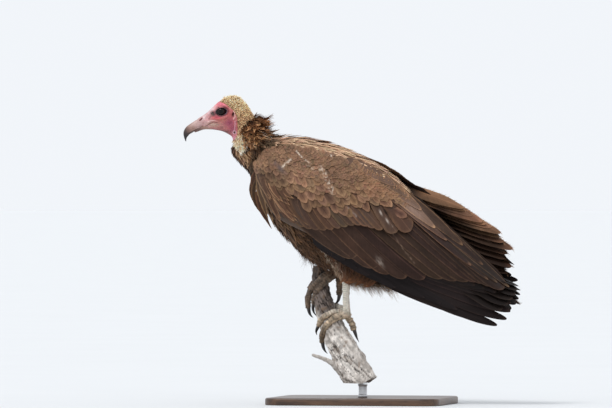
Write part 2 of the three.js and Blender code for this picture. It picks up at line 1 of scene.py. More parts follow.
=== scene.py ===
# A hooded vulture on a length of dead branch, with its plumage as solid mesh. Lengths are in
# millimetres until a mesh is made; the side elevation is drawn in grid units of 1.7 mm.
import json, math
import bpy
import numpy as np
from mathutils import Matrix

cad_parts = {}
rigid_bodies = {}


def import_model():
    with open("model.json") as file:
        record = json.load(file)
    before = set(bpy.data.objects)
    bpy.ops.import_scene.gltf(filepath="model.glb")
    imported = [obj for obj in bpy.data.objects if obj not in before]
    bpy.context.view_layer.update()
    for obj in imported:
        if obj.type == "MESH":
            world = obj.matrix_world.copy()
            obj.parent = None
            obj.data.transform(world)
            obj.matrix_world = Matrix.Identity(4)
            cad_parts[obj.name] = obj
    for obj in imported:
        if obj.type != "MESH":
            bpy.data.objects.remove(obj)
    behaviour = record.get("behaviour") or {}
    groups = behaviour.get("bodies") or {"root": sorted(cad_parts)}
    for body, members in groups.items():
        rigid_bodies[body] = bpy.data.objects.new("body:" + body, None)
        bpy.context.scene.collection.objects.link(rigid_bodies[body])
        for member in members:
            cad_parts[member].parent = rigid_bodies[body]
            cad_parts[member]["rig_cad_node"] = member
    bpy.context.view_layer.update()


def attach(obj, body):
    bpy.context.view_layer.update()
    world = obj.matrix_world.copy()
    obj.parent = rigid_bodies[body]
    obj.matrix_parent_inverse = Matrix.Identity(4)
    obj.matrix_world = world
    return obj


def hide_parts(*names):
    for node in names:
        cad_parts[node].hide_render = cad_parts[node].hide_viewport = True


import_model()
TAU = 2 * math.pi
rad = math.radians

# ------------------------------------------------------------------ frame of the elevation
K, A0, B0 = 1.7, 362.0, 404.0
TURN = rad(12)
SIN, COS = math.sin(TURN), math.cos(TURN)
PIVOT = -194.0


def el(a, b):
    return K * (np.asarray(a, float) - A0), K * (B0 - np.asarray(b, float))


def grid_of(u, h):
    return u / K + A0, B0 - h / K


def side(u, h, y):
    u, h, y = np.broadcast_arrays(u, h, y)
    return np.stack([(u - y * SIN) / COS, y, h], -1).astype(float)


def head_at(u, h, w):
    u, h, w = np.broadcast_arrays(u, h, w)
    return np.stack([PIVOT / COS + (u - PIVOT) * COS - w * SIN, (u - PIVOT) * SIN + w * COS, h], -1).astype(float)


def trunk_at(u, h, w):
    u, h, w = np.broadcast_arrays(u, h, w)
    return np.stack([u / COS, w, h], -1).astype(float)


def place(u, h, w):
    f = np.clip((np.asarray(u, float) + 222) / 84, 0, 1)[..., None]
    return head_at(u, h, w) * (1 - f) + trunk_at(u, h, w) * f


# ------------------------------------------------------------------ driving tables
# cere to tail root: (back or crown), (breast or jaw), half width in mm
BODY = [((203.6, 116.4), (201.8, 127.6), 7), ((206.4, 112.8), (206.2, 128.4), 10), ((210.4, 108.6), (210.8, 129), 13.4),
 ((215.4, 104), (216.6, 129.8), 17.2), ((221, 99.6), (222.6, 131.2), 20.6), ((227.2, 96.7), (227.6, 133.6), 22.3),
 ((234.6, 95.8), (230.8, 135.6), 22.8), ((241.2, 98.6), (232, 137.2), 22.6), ((246.6, 103.6), (232.6, 138.8), 22.2),
 ((250.2, 109.5), (232.6, 140.4), 22.4), ((253.2, 115.5), (232, 142.6), 24), ((258.5, 120.6), (231.6, 146.2), 27),
 ((266, 126.6), (231, 151.4), 31), ((272.5, 131.6), (236.4, 160.5), 37), ((281, 134.6), (247.4, 171.4), 42),
 ((291, 134.6), (255.5, 187), 47), ((311, 137.6), (263.5, 209), 57), ((333, 143.3), (283, 233), 66),
 ((358, 153.5), (308.6, 258), 69), ((381, 166.6), (338, 270.5), 63), ((400, 181.5), (368, 282.5), 52),
 ((414, 198), (392, 284), 38), ((427, 222), (411, 270), 24), ((436, 243), (427, 257), 9)]
BILL_U = [((209.4, 110.6), (209.4, 124.0), 8.8), ((206.4, 112.6), (206.4, 124.6), 8.7), ((203.5, 114.8), (203, 125.4), 8.2), ((198.6, 117.9), (199, 127.9), 7.0), ((194, 120.8), (195.6, 130), 6.1),
 ((189.8, 123.6), (192, 132.4), 5.3), ((186.2, 126.3), (189.2, 134), 4.4), ((183.9, 129.6), (187.8, 135.6), 3.5),
 ((183, 133), (186.6, 137), 2.5), ((183.6, 137), (186, 139), 1.6), ((185, 140.8), (185.7, 141.4), 0.5)]
BILL_L = [((212, 122.8), (212, 129.2), 8.2), ((204.5, 124.0), (204.5, 129.2), 7), ((199.6, 126.2), (200.2, 130.3), 5.8), ((196.4, 128.2), (197.0, 131.5), 4.6), ((193.8, 130.2), (194.4, 132.2), 3)]
# folded wing: (upper edge), (lower edge), depth at the upper edge, middle and lower edge, thickness
WING = [((261, 157), (256, 170), -40, -46, -44, 5), ((268, 150), (257.5, 189), -45, -64, -54, 14),
 ((289, 143.5), (271, 221), -43, -80, -65, 20), ((319, 146), (300, 240), -37, -89, -73, 22),
 ((348, 155), (334, 254), -30, -90, -75, 20), ((376, 169), (364, 266), -24, -83, -74, 16),
 ((403, 190), (393, 277), -20, -74, -69, 12), ((430, 215.5), (425, 277.5), -18, -63, -64, 9),
 ((456, 238), (455, 279), -16, -52, -59, 6.5), ((481, 261), (479, 282), -15, -41, -51, 4.5),
 ((504, 284), (501, 290.5), -16, -30, -42, 3)]
THIGH_L = [((322, 226), (360, 222), -50, 25), ((321, 239), (377, 243), -51, 25), ((326, 252), (386, 264), -48, 22),
 ((333, 264), (386, 280), -44, 17), ((339.5, 273), (370, 287), -39, 12), ((341.6, 280), (350.6, 283.5), -36, 7.6)]
THIGH_R = [((326, 214), (366, 208), 50, 24), ((328, 227), (380, 226), 52, 24), ((334, 239), (382, 243), 52, 20),
 ((343, 248), (374, 255), 51, 14), ((350, 251.5), (361, 257), 50, 8)]
# tubes: (centre), depth, radius
TARSUS_L = [((346, 277), -36, 6.8), ((346.4, 283), -35.6, 7.3), ((346, 295), -34.5, 6.0), ((346.4, 306), -33.4, 6.6), ((346, 314), -32.6, 7.8)]
TARSUS_R = [((356, 252), 50, 6.8), ((353, 256), 48, 7.2), ((346, 263), 40, 6.2), ((340, 269), 30, 6.6), ((337, 272.5), 22, 7.6)]
BRANCH = [((362.6, 384.5), -35, 26.2), ((353.6, 368.5), -34.5, 26.2), ((344.4, 351), -33, 24.6), ((337, 336), -29, 22),
 ((331, 322), -21, 19.6), ((326, 309), -10.5, 17.4), ((321.9, 295), 0.5, 15.2), ((320.4, 280), 11.5, 13), ((320, 266), 21, 12.2)]
TWIG = [((345, 374), -36, 9.5), ((337.5, 366.6), -38, 7.6), ((330.8, 361.8), -40, 4.6), ((321.6, 357.6), -42, 3.2), ((311.6, 354.4), -43, 2.2)]
TOES_L = [[[((344.6, 316), -32), ((337, 317.2), -43), ((330, 321.5), -46), ((325, 328), -44), ((322.5, 335), -38.5), ((322.3, 341.5), -34)], 5.6, 4.3],
 [[((343.4, 314.5), -30), ((336, 312), -37), ((328, 314.4), -41), ((322, 319), -39), ((318.8, 325.4), -33)], 5.2, 4.1],
 [[((343, 313.6), -24), ((341, 309), -8), ((336, 306.4), 7.5), ((329, 305.5), 15), ((322, 308), 14.5)], 5.2, 4.1],
 [[((346.6, 316.6), -30), ((351.4, 322.4), -27), ((354, 329.5), -27)], 5.4, 4.2]]
CLAWS_L = [[[((322.3, 340.5), -34.5), ((323.2, 346.5), -31.8), ((325.0, 350.6), -31.4), ((327.4, 353.4), -33)], 3.5],
 [[((319.2, 324.4), -33.6), ((317, 328.8), -29.6), ((316.2, 332), -27), ((317, 335), -26)], 3.3],
 [[((323, 307.6), 14.8), ((318.8, 310.4), 12), ((316.6, 314), 8), ((316.4, 316.8), 5)], 3.3],
 [[((353.7, 328.7), -27), ((355.4, 333.6), -26.6), ((356.8, 337.6), -27.4), ((358.8, 341.8), -29.6)], 3.4]]
TOES_R = [[[((335.6, 274.4), 18), ((330.6, 274), 6), ((324, 276.8), -6.5), ((316.5, 283.4), -9), ((310.6, 291), -3), ((308, 300), 4), ((308.5, 307.5), 8)], 5.6, 4.3],
 [[((336.4, 274), 16), ((331, 278), 2), ((323.8, 283), -8), ((317.8, 290), -12), ((314.8, 297.5), -9.5), ((313.8, 303), -5)], 5.2, 4.1],
 [[((336, 272.6), 23), ((330, 273.8), 31), ((322, 277.6), 33.5), ((314, 283.4), 30), ((309.6, 289), 24)], 5.2, 4.1],
 [[((338, 273.6), 20), ((339.4, 281), 15), ((339.6, 289), 10), ((339.4, 295), 6)], 5.4, 4.2]]
CLAWS_R = [[[((308.4, 306.5), 7.6), ((309.2, 312), 9), ((310.8, 315.6), 9.5), ((313.2, 318), 8.5)], 3.5],
 [[((313.9, 302.2), -5.6), ((313, 308), -2.6), ((314, 312.6), -1), ((316.4, 316), -1)], 3.3],
 [[((310, 288.2), 24.6), ((308.2, 293), 20.6), ((308, 296.8), 18), ((309.4, 299.8), 17)], 3.3],
 [[((339.5, 294.2), 6.4), ((338.6, 299.6), 4.6), ((336.4, 303), 4.4), ((333, 304.8), 5.4)], 3.4]]
# left half of the tail: root xyz, tip xyz, width
RECT = [[(76, -3, 286), (271, -5, 201), 36], [(76, -6, 283.5), (271, -14, 194.5), 36], [(75, -9, 281), (269, -23, 187), 36],
 [(74, -12, 278), (265, -31, 179.5), 36], [(73, -15, 275), (259, -38, 171), 36], [(72, -18, 272), (250, -43, 162), 34]]
# inner flight feathers of the right wing that show above the left wing
FAR_INNER = [[((402, 187), 16), ((463, 208), 8), 34], [((412, 192), 20), ((482, 221.6), 9), 40], [((430, 206), 26), ((500, 233), 10), 38],
 [((445, 222), 32), ((511.6, 249), 12), 42], [((450, 238), 38), ((510.6, 266.6), 15), 42], [((455, 252), 44), ((506, 273), 18), 32],
 [((440, 258), 52), ((519.6, 304), 44), 20]]
EYE = el(221.4, 111.5)
EYE_SIDE, EYE_R = 12.1, 10.0
RAISE_FROM, RAISE_SLOPE, RAISE_EASE = -21.0, 0.135, 26.0


# ------------------------------------------------------------------ numbers
def lin(r, g, b):
    c = np.array([r, g, b], float) / 255
    return np.where(c <= 0.04045, c / 12.92, ((c + 0.055) / 1.055) ** 2.4)


def sp(x, p):
    return np.sign(x) * np.abs(x) ** p


def smooth(x, a=0.0, b=1.0):
    t = np.clip((np.asarray(x, float) - a) / (b - a), 0, 1)
    return t * t * (3 - 2 * t)


def mix(a, b, f):
    return a + (b - a) * f


def unit(v):
    return v / np.maximum(np.linalg.norm(v, axis=-1, keepdims=True), 1e-9)


def flat(rows):
    out = []
    for r in rows:
        o = []
        for q in r:
            if isinstance(q, tuple):
                o += [float(v) for v in el(*q)]
            else:
                o.append(float(q))
        out.append(o)
    return np.array(out)


def along(rows, x):
    """Catmull-Rom through the rows at the fractional row number x."""
    rows = np.asarray(rows, float)
    n = len(rows) - 1
    x = np.clip(np.asarray(x, float), 0, n)
    i = np.minimum(x.astype(int), n - 1)
    f = (x - i)[..., None]
    a, b, c, d = rows[np.maximum(i - 1, 0)], rows[i], rows[i + 1], rows[np.minimum(i + 2, n)]
    m0 = (c - a) / np.where(i > 0, 2, 1)[..., None]
    m1 = (d - b) / np.where(i < n - 1, 2, 1)[..., None]
    f2, f3 = f * f, f * f * f
    return (2 * f3 - 3 * f2 + 1) * b + (f3 - 2 * f2 + f) * m0 + (3 * f2 - 2 * f3) * c + (f3 - f2) * m1


def vnoise(p, seed=0):
    p = np.asarray(p, float)
    i = np.floor(p).astype(np.int64)
    f = p - i
    f = f * f * (3 - 2 * f)

    def h(a, b, c):
        n = (i[..., 0] + a) * 374761393 + (i[..., 1] + b) * 668265263 + (i[..., 2] + c) * 1274126177 + seed * 974634777
        n &= 0xFFFFFFFF
        n = ((n ^ (n >> 13)) * 1274126177) & 0xFFFFFFFF
        return ((n ^ (n >> 16)) & 0xFFFF) / 32767.5 - 1

    fx, fy, fz = f[..., 0], f[..., 1], f[..., 2]
    return mix(mix(mix(h(0, 0, 0), h(1, 0, 0), fx), mix(h(0, 1, 0), h(1, 1, 0), fx), fy),
               mix(mix(h(0, 0, 1), h(1, 0, 1), fx), mix(h(0, 1, 1), h(1, 1, 1), fx), fy), fz)


def fbm(p, octaves=4, seed=0, gain=0.5):
    p = np.asarray(p, float)
    out, amp = 0, 1.0
    for k in range(octaves):
        out = out + amp * vnoise(p * 2.03 ** k + 17.3 * k, seed + k)
        amp *= gain
    return out


# ------------------------------------------------------------------ meshes and materials
MATS = {}


def make_mesh(name, verts, quads=None, tris=None, mats=(), smoothed=True, attrs=None, uv=None, face_mat=None):
    """verts in mm; quads and tris are index arrays; attrs: name -> (kind, values per vertex)."""
    me = bpy.data.meshes.new(name)
    verts = np.asarray(verts, np.float32).reshape(-1, 3) * 0.001
    loops, starts, total = [], [], 0
    for f, k in ((quads, 4), (tris, 3)):
        if f is not None and len(f):
            f = np.asarray(f, np.int32).reshape(-1, k)
            loops.append(f.ravel())
            starts.append(np.arange(len(f), dtype=np.int32) * k + total)
            total += f.size
    loops, starts = np.concatenate(loops), np.concatenate(starts)
    me.vertices.add(len(verts))
    me.vertices.foreach_set("co", verts.ravel())
    me.loops.add(len(loops))
    me.loops.foreach_set("vertex_index", loops)
    me.polygons.add(len(starts))
    me.polygons.foreach_set("loop_start", starts)
    me.polygons.foreach_set("use_smooth", np.full(len(starts), smoothed))
    me.update(calc_edges=True)
    for m in mats:
        me.materials.append(m)
    if face_mat is not None:
        me.polygons.foreach_set("material_index", np.asarray(face_mat, np.int32))
    for key, (kind, val) in (attrs or {}).items():
        val = np.asarray(val, np.float32)
        at = me.attributes.new(key, kind, "POINT")
        at.data.foreach_set({"FLOAT_COLOR": "color", "FLOAT_VECTOR": "vector", "FLOAT": "value"}[kind], val.ravel())
    if uv is not None:
        layer = me.uv_layers.new(name="OFBake")
        layer.data.foreach_set("uv", np.asarray(uv, np.float32)[loops].ravel())
    me.validate()
    ob = bpy.data.objects.new(name, me)
    bpy.context.scene.collection.objects.link(ob)
    return ob


def put(ob, slot=None, replaces=()):
    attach(ob, "root")
    if replaces:
        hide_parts(*replaces)
    return ob


class Nodes:
    """A small helper that writes a material's node tree."""

    def __init__(s, name):
        s.m = bpy.data.materials.new(name)
        s.m.use_nodes = True
        s.t = s.m.node_tree
        s.t.nodes.clear()
        s.out = s.t.nodes.new("ShaderNodeOutputMaterial")
        s.b = s.t.nodes.new("ShaderNodeBsdfPrincipled")
        s.t.links.new(s.b.outputs[0], s.out.inputs["Surface"])
        MATS[name] = s.m

    def n(s, kind, **kw):
        node = s.t.nodes.new(kind)
        for k, v in kw.items():
            setattr(node, k, v)
        return node

    def link(s, a, b):
        s.t.links.new(a, b)

    def set(s, **kw):
        for k, v in kw.items():
            s.b.inputs[k.replace("_", " ")].default_value = v

    def math(s, op, a, b=None, c=None, clamp=False):
        node = s.n("ShaderNodeMath", operation=op)
        node.use_clamp = clamp
        for i, v in enumerate((a, b, c)):
            if v is None:
                continue
            if isinstance(v, (int, float)):
                node.inputs[i].default_value = v
            else:
                s.link(v, node.inputs[i])
        return node.outputs[0]

    def noise(s, vec, scale, detail=4, rough=0.5, distort=0.0, out=0):
        node = s.n("ShaderNodeTexNoise")
        node.inputs["Scale"].default_value = scale
        node.inputs["Detail"].default_value = detail
        node.inputs["Roughness"].default_value = rough
        node.inputs["Distortion"].default_value = distort
        if vec is not None:
            s.link(vec, node.inputs["Vector"])
        return node.outputs[out]

    def voronoi(s, vec, scale, feature="F1", rand=1.0):
        node = s.n("ShaderNodeTexVoronoi", feature=feature)
        node.inputs["Scale"].default_value = scale
        node.inputs["Randomness"].default_value = rand
        if vec is not None:
            s.link(vec, node.inputs["Vector"])
        return node.outputs["Distance"]

    def ramp(s, fac, stops):
        node = s.n("ShaderNodeValToRGB")
        e = node.color_ramp.elements
        while len(e) < len(stops):
            e.new(0.5)
        for q, (p, c) in zip(e, stops):
            q.position = p
            q.color = (*c, 1) if len(c) == 3 else c
        s.link(fac, node.inputs[0])
        return node.outputs[0]

    def mixc(s, fac, a, b, blend="MIX"):
        node = s.n("ShaderNodeMix", data_type="RGBA", blend_type=blend)
        for sock, v in ((node.inputs[0], fac), (node.inputs[6], a), (node.inputs[7], b)):
            if isinstance(v, (int, float)):
                sock.default_value = v
            elif isinstance(v, (tuple, list, np.ndarray)):
                sock.default_value = (*[float(q) for q in v], 1)
            else:
                s.link(v, sock)
        return node.outputs[2]

    def map(s, v, a, b, c, d):
        node = s.n("ShaderNodeMapRange")
        node.clamp = True
        s.link(v, node.inputs[0])
        for i, q in enumerate((a, b, c, d)):
            node.inputs[i + 1].default_value = q
        return node.outputs[0]

    def attr(s, name, out="Color"):
        return s.n("ShaderNodeAttribute", attribute_name=name).outputs[out]

    def coords(s, scale=(1, 1, 1), out="Object"):
        tc = s.n("ShaderNodeTexCoord")
        mp = s.n("ShaderNodeMapping")
        mp.inputs["Scale"].default_value = scale
        s.link(tc.outputs[out], mp.inputs[0])
        return mp.outputs[0]

    def bump(s, height, strength=0.3, dist=0.001, normal=None):
        node = s.n("ShaderNodeBump")
        node.inputs["Strength"].default_value = strength
        node.inputs["Distance"].default_value = dist
        s.link(height, node.inputs["Height"])
        if normal is not None:
            s.link(normal, node.inputs["Normal"])
        s.link(node.outputs[0], s.b.inputs["Normal"])
        return node.outputs[0]

    def scalef(s, col, fac):
        """col times a factor that varies over the surface"""
        node = s.n("ShaderNodeVectorMath", operation="SCALE")
        s.link(col, node.inputs[0])
        s.link(fac, node.inputs["Scale"])
        return node.outputs[0]


def feather_material(name, barb=0.2, rough=0.68, sheen=0.03, bump=0.35, streak=0.25, spec=0.12):
    k = Nodes(name)
    col = k.n("ShaderNodeAttribute", attribute_name="Col")
    fa = k.n("ShaderNodeSeparateXYZ")
    k.link(k.attr("Fa", "Vector"), fa.inputs[0])
    x, b, r = fa.outputs
    ax = k.math("ABSOLUTE", x)
    cmb = k.n("ShaderNodeCombineXYZ")
    k.link(k.math("MULTIPLY", b, 1.0), cmb.inputs[0])
    k.link(k.math("MULTIPLY", x, 0.9), cmb.inputs[1])
    k.link(k.math("MULTIPLY", r, 91.0), cmb.inputs[2])
    fine = k.noise(cmb.outputs[0], 1.9, 3, 0.6)
    coarse = k.noise(cmb.outputs[0], 0.42, 2, 0.5)
    f = k.math("MULTIPLY_ADD", k.math("SUBTRACT", fine, 0.5), barb * 2.2, 1.0)
    f = k.math("ADD", f, k.math("MULTIPLY", k.math("SUBTRACT", coarse, 0.5), streak * 2.0))
    c = k.scalef(col.outputs["Color"], f)
    # the shaft: alpha below a half darkens it, above a half lightens it
    shaft = k.map(ax, 0.03, 0.075, 1.0, 0.0)
    tone = k.math("MULTIPLY_ADD", col.outputs["Alpha"], 2.6, -0.3)
    sc = k.math("MULTIPLY_ADD", k.math("SUBTRACT", tone, 1.0), shaft, 1.0)
    c = k.scalef(c, sc)
    k.link(c, k.b.inputs["Base Color"])
    k.link(k.map(fine, 0.3, 0.7, rough - 0.08, rough + 0.1), k.b.inputs["Roughness"])
    k.set(Sheen_Weight=sheen, Sheen_Roughness=0.45, Specular_IOR_Level=spec)
    h = k.math("ADD", fine, k.math("MULTIPLY", shaft, 0.8))
    k.bump(h, bump, 0.0004)
    return k.m


def down_material(name, rough=0.95, sheen=0.15):
    k = Nodes(name)
    col = k.n("ShaderNodeAttribute", attribute_name="Col")
    g = k.noise(k.coords((700, 700, 700)), 1.0, 2, 0.5)
    k.link(k.scalef(col.outputs["Color"], k.map(g, 0.3, 0.7, 0.82, 1.16)), k.b.inputs["Base Color"])
    k.link(k.map(g, 0.3, 0.7, rough - 0.1, rough), k.b.inputs["Roughness"])
    k.set(Sheen_Weight=sheen, Sheen_Roughness=0.5, Specular_IOR_Level=0.15)
    k.bump(g, 0.2, 0.0003)
    return k.m


M_VANE = feather_material("plumage_vanes")
M_DARK = feather_material("flight_vanes", barb=0.16, rough=0.55, sheen=0.01, bump=0.3, streak=0.22, spec=0.12)
M_DOWN = down_material("down_tufts")


# ------------------------------------------------------------------ the body's envelope
BODY_T = flat(BODY)
NB = len(BODY_T) - 1


def body_uhw(x, th):
    r = along(BODY_T, x)
    p = mix(0.96, 0.93, smooth(x, 11, 16))
    c, s = sp(np.cos(th), p), sp(np.sin(th), p)
    keel = mix(0.05, 0.1, smooth(x, 9, 15))
    au, ah, bu, bh, w = (r[..., i] for i in range(5))
    return (au + bu) / 2 + (au - bu) / 2 * c, (ah + bh) / 2 + (ah - bh) / 2 * c, w * (1 + keel * c) * s


def body_pt(x, th):
    return place(*body_uhw(x, th))


class Surf:
    """A surface P(a, b) on a grid, with normals and tangents; b may run round and close."""

    def __init__(s, f, a0, a1, na, b0, b1, nb, wrap, out=None):
        s.a0, s.a1, s.b0, s.b1, s.wrap = a0, a1, b0, b1, wrap
        A = np.linspace(a0, a1, na)
        B = np.linspace(b0, b1, nb, endpoint=not wrap)
        s.da, s.db = A[1] - A[0], B[1] - B[0]
        s.na, s.nb = na, nb
        AA, BB = np.meshgrid(A, B, indexing="ij")
        s.P = f(AA, BB)
        s.Ta = np.gradient(s.P, s.da, axis=0)
        if wrap:
            s.Tb = (np.roll(s.P, -1, 1) - np.roll(s.P, 1, 1)) / (2 * s.db)
        else:
            s.Tb = np.gradient(s.P, s.db, axis=1)
        n = unit(np.cross(s.Ta, s.Tb))
        if out is None:
            mid = s.P.mean(axis=1, keepdims=True)
            if np.mean(np.sum(n * (s.P - mid), -1)) < 0:
                n = -n
        elif np.mean(n @ np.asarray(out, float)) < 0:
            n = -n
        s.N = n

    def _at(s, a, b, grids):
        x = np.clip((np.asarray(a, float) - s.a0) / s.da, 0, s.na - 1.0001)
        y = (np.asarray(b, float) - s.b0) / s.db
        if s.wrap:
            y = np.mod(y, s.nb)
        else:
            y = np.clip(y, 0, s.nb - 1.0001)
        i, j = x.astype(int), y.astype(int)
        fx, fy = (x - i)[..., None], (y - j)[..., None]
        j = np.mod(j, s.nb)
        i2 = np.minimum(i + 1, s.na - 1)
        j2 = np.mod(j + 1, s.nb) if s.wrap else np.minimum(j + 1, s.nb - 1)
        return [mix(mix(g[i, j], g[i2, j], fx), mix(g[i, j2], g[i2, j2], fx), fy) for g in grids]

    def at(s, a, b):
        p, n = s._at(a, b, (s.P, s.N))
        return p, unit(n)

    def step(s, a, b, d):
        """the change of (a, b) that moves along the vector d, in mm"""
        ta, tb = s._at(a, b, (s.Ta, s.Tb))
        e, f, g = np.sum(ta * ta, -1) + 1e-6, np.sum(ta * tb, -1), np.sum(tb * tb, -1) + 1e-6
        da, db = np.sum(ta * d, -1), np.sum(tb * d, -1)
        det = np.maximum(e * g - f * f, 1e-6 * e * g)
        return (g * da - f * db) / det, (e * db - f * da) / det


SB = Surf(body_pt, 0, NB, 420, 0, TAU, 220, True)


# how deep the skin lies under the plumage's outline, in mm
def down_edge(px, py):
    """distance in grid units from the edge of the down, positive on the bare face"""
    line = np.array([(217, 98.5), (220, 101.4), (225.7, 104.2), (230, 107.6), (234.3, 111.2), (237, 116.6), (237.9, 128), (237.4, 134), (236.0, 138), (233.6, 140.4), (229, 141.6)])
    best = np.full(np.shape(px), 1e9)
    sign = np.ones(np.shape(px))
    for (ax, ay), (bx, by) in zip(line[:-1], line[1:]):
        dx, dy = bx - ax, by - ay
        t = np.clip(((px - ax) * dx + (py - ay) * dy) / (dx * dx + dy * dy), 0, 1)
        qx, qy = px - ax - t * dx, py - ay - t * dy
        d = np.hypot(qx, qy)
        cr = dx * qy - dy * qx
        near = d < best
        best = np.where(near, d, best)
        sign = np.where(near, np.where(cr > 0, 1.0, -1.0), sign)
    return best * sign


def gauss(px, py, x, y, sx, sy=None, ang=0.0):
    sy = sx if sy is None else sy
    dx, dy = px - x, py - y
    c, s = math.cos(rad(ang)), math.sin(rad(ang))
    return np.exp(-(((dx * c + dy * s) / sx) ** 2 + ((-dx * s + dy * c) / sy) ** 2))


def ridge(px, py, pts, wid):
    """1 on a polyline of grid points, falling off over wid"""
    best = np.full(np.shape(px), 1e9)
    for (ax, ay), (bx, by) in zip(pts[:-1], pts[1:]):
        dx, dy = bx - ax, by - ay
        t = np.clip(((px - ax) * dx + (py - ay) * dy) / (dx * dx + dy * dy), 0, 1)
        best = np.minimum(best, np.hypot(px - ax - t * dx, py - ay - t * dy))
    return np.exp(-(best / wid) ** 2)


def coat_depth(x, px, py):
    bare = smooth(down_edge(px, py), -0.8, 0.6) * smooth(-x, -12.2, -11)
    d = mix(1.6, 4.5, smooth(x, 8.5, 11))
    d = mix(d, 8.0, smooth(x, 11, 13.5))
    d = mix(d, 13.0, smooth(x, 14, 17))
    d = np.where(x > 21.5, np.minimum(d, mix(13, 4, smooth(x, 21.5, 23))), d)
    return d * (1 - bare), bare


# the eye opening is an almond, 17 by 13 mm
LID_A, LID_B, LID_TILT = 8.9, 6.0, -8.0


def lid_q(px, py):
    dx, dy = (px - 221.4) * K, (py - 111.5) * K
    c, s = math.cos(rad(LID_TILT)), math.sin(rad(LID_TILT))
    ax, ay = dx * c + dy * s, -dx * s + dy * c
    ay = np.where(ax < -2, ay - 0.06 * (ax + 2), ay)
    return np.sqrt((ax / LID_A) ** 2 + (ay / LID_B) ** 2), np.hypot(dx, dy)


GAPE = [(203.4, 126.6), (206.6, 125.4), (210, 123.4), (213.6, 121.9), (216.8, 122.6)]
GAPE_LIP = [(207.4, 121.9), (211, 120.4), (214.5, 120.2), (217.2, 121.4)]


def face_relief(px, py):
    """height of the bare face's folds over the smooth head, in mm"""
    d = 0 * px
    d = d + 1.5 * ridge(px, py, [(214.6, 106.4), (218, 104.4), (222.6, 104.2), (226.6, 106.4)], 1.5)      # brow
    d = d - 0.9 * gauss(px, py, 213.0, 113.2, 2.4, 1.7)                                                    # lores
    d = d - 0.8 * gauss(px, py, 208, 117, 3.2, 1.6, -35)
    d = d + 0.9 * ridge(px, py, [(212.6, 118.0), (217, 119.0), (222.4, 118.6), (226.2, 116.4)], 1.1)       # bag under the eye
    d = d - 0.7 * ridge(px, py, [(213, 119.6), (218, 120.8), (224, 120.0), (228, 117.4)], 0.55)
    d = d - 1.0 * ridge(px, py, GAPE, 0.42)
    d = d + 0.75 * ridge(px, py, GAPE_LIP, 0.6)
    d = d + 0.7 * ridge(px, py, [(206, 127.4), (210.6, 126.0), (216, 125.6), (221, 127.4)], 1.4)           # jaw
    d = d - 0.35 * ridge(px, py, [(218, 124.4), (223, 124.6), (228, 123.4)], 0.7)
    d = d + 1.0 * gauss(px, py, 229.6, 118.6, 3.2, 4.2)                                                    # cheek
    # ear: a slit with a raised pale rim behind it
    d = d - 3.4 * gauss(px, py, 233.0, 114.2, 0.95, 2.1, 8)
    d = d + 1.3 * ridge(px, py, [(233.6, 110.8), (235.0, 113.4), (235.0, 116.8), (233.4, 119.0)], 0.55)
    d = d + 0.6 * ridge(px, py, [(231.4, 112.0), (231.0, 114.6), (231.6, 117.2)], 0.55)
    # the line that falls from the ear to a small ring, with throat folds beside it
    d = d + 0.85 * ridge(px, py, [(234.6, 120.4), (235.0, 124), (234.6, 128), (234.3, 130.6)], 0.5)
    rr = np.hypot(px - 234.3, py - 132.3)
    d = d + 0.9 * np.exp(-((rr - 1.0) / 0.42) ** 2) - 0.9 * np.exp(-(rr / 0.5) ** 2)
    for i, (x0, lean) in enumerate(((228.2, 1.4), (230.2, 1.8), (232.2, 1.6), (236.2, 0.4))):
        d = d + 0.5 * ridge(px, py, [(x0, 121.6 + i), (x0 + lean * 0.4, 126), (x0 + lean, 131), (x0 + lean * 1.4, 137)], 0.5)
    wart = fbm(np.stack([px * 1.35, py * 1.35, 0 * px], -1), 3, 7)
    d = d + 0.28 * wart * (1 - 0.6 * np.exp(-((px - 221) / 10) ** 2 - ((py - 111) / 8) ** 2))
    return d


def sculpt(P, N, px, py, w, bare):
    """puts the face on the smooth head"""
    lat = smooth(np.abs(w), 5, 11)
    d = face_relief(px, py) * bare * lat
    fold = 0.22 * np.sin(px * 3.0 + 2.2 * np.sin(py * 1.3)) * gauss(px, py, 213, 109, 5, 4, -40)
    d = d + bare * fold + bare * 0.16 * fbm(np.stack([px * 2.2, py * 2.2, w * 0.8], -1), 3, 11)
    P = P + N * d[..., None]
    # the eye socket, set by its sideways distance from the mid plane
    q, rho = lid_q(px, py)
    ball = EYE_SIDE + np.sqrt(np.maximum(EYE_R ** 2 - rho ** 2, 9.0))
    cur = np.abs(w) + d
    ringy = 0.28 * np.cos((q - 1.1) * 15) * smooth(-q, -1.9, -1.1) * smooth(q, 1.02, 1.1)
    lid = ball + 0.55 + 0.85 * np.exp(-((q - 1.09) / 0.10) ** 2) + ringy
    want = np.where(q < 1.0, ball - 2.6, mix(np.maximum(lid, 0), cur, smooth(q, 1.12, 1.62)))
    f = smooth(-q, -1.75, -1.6) * (np.abs(w) > 6) * bare
    delta = (want - cur) * f * np.sign(w)
    # sideways in the head's own frame
    P = P + delta[..., None] * np.array([-SIN, COS, 0])
    return P


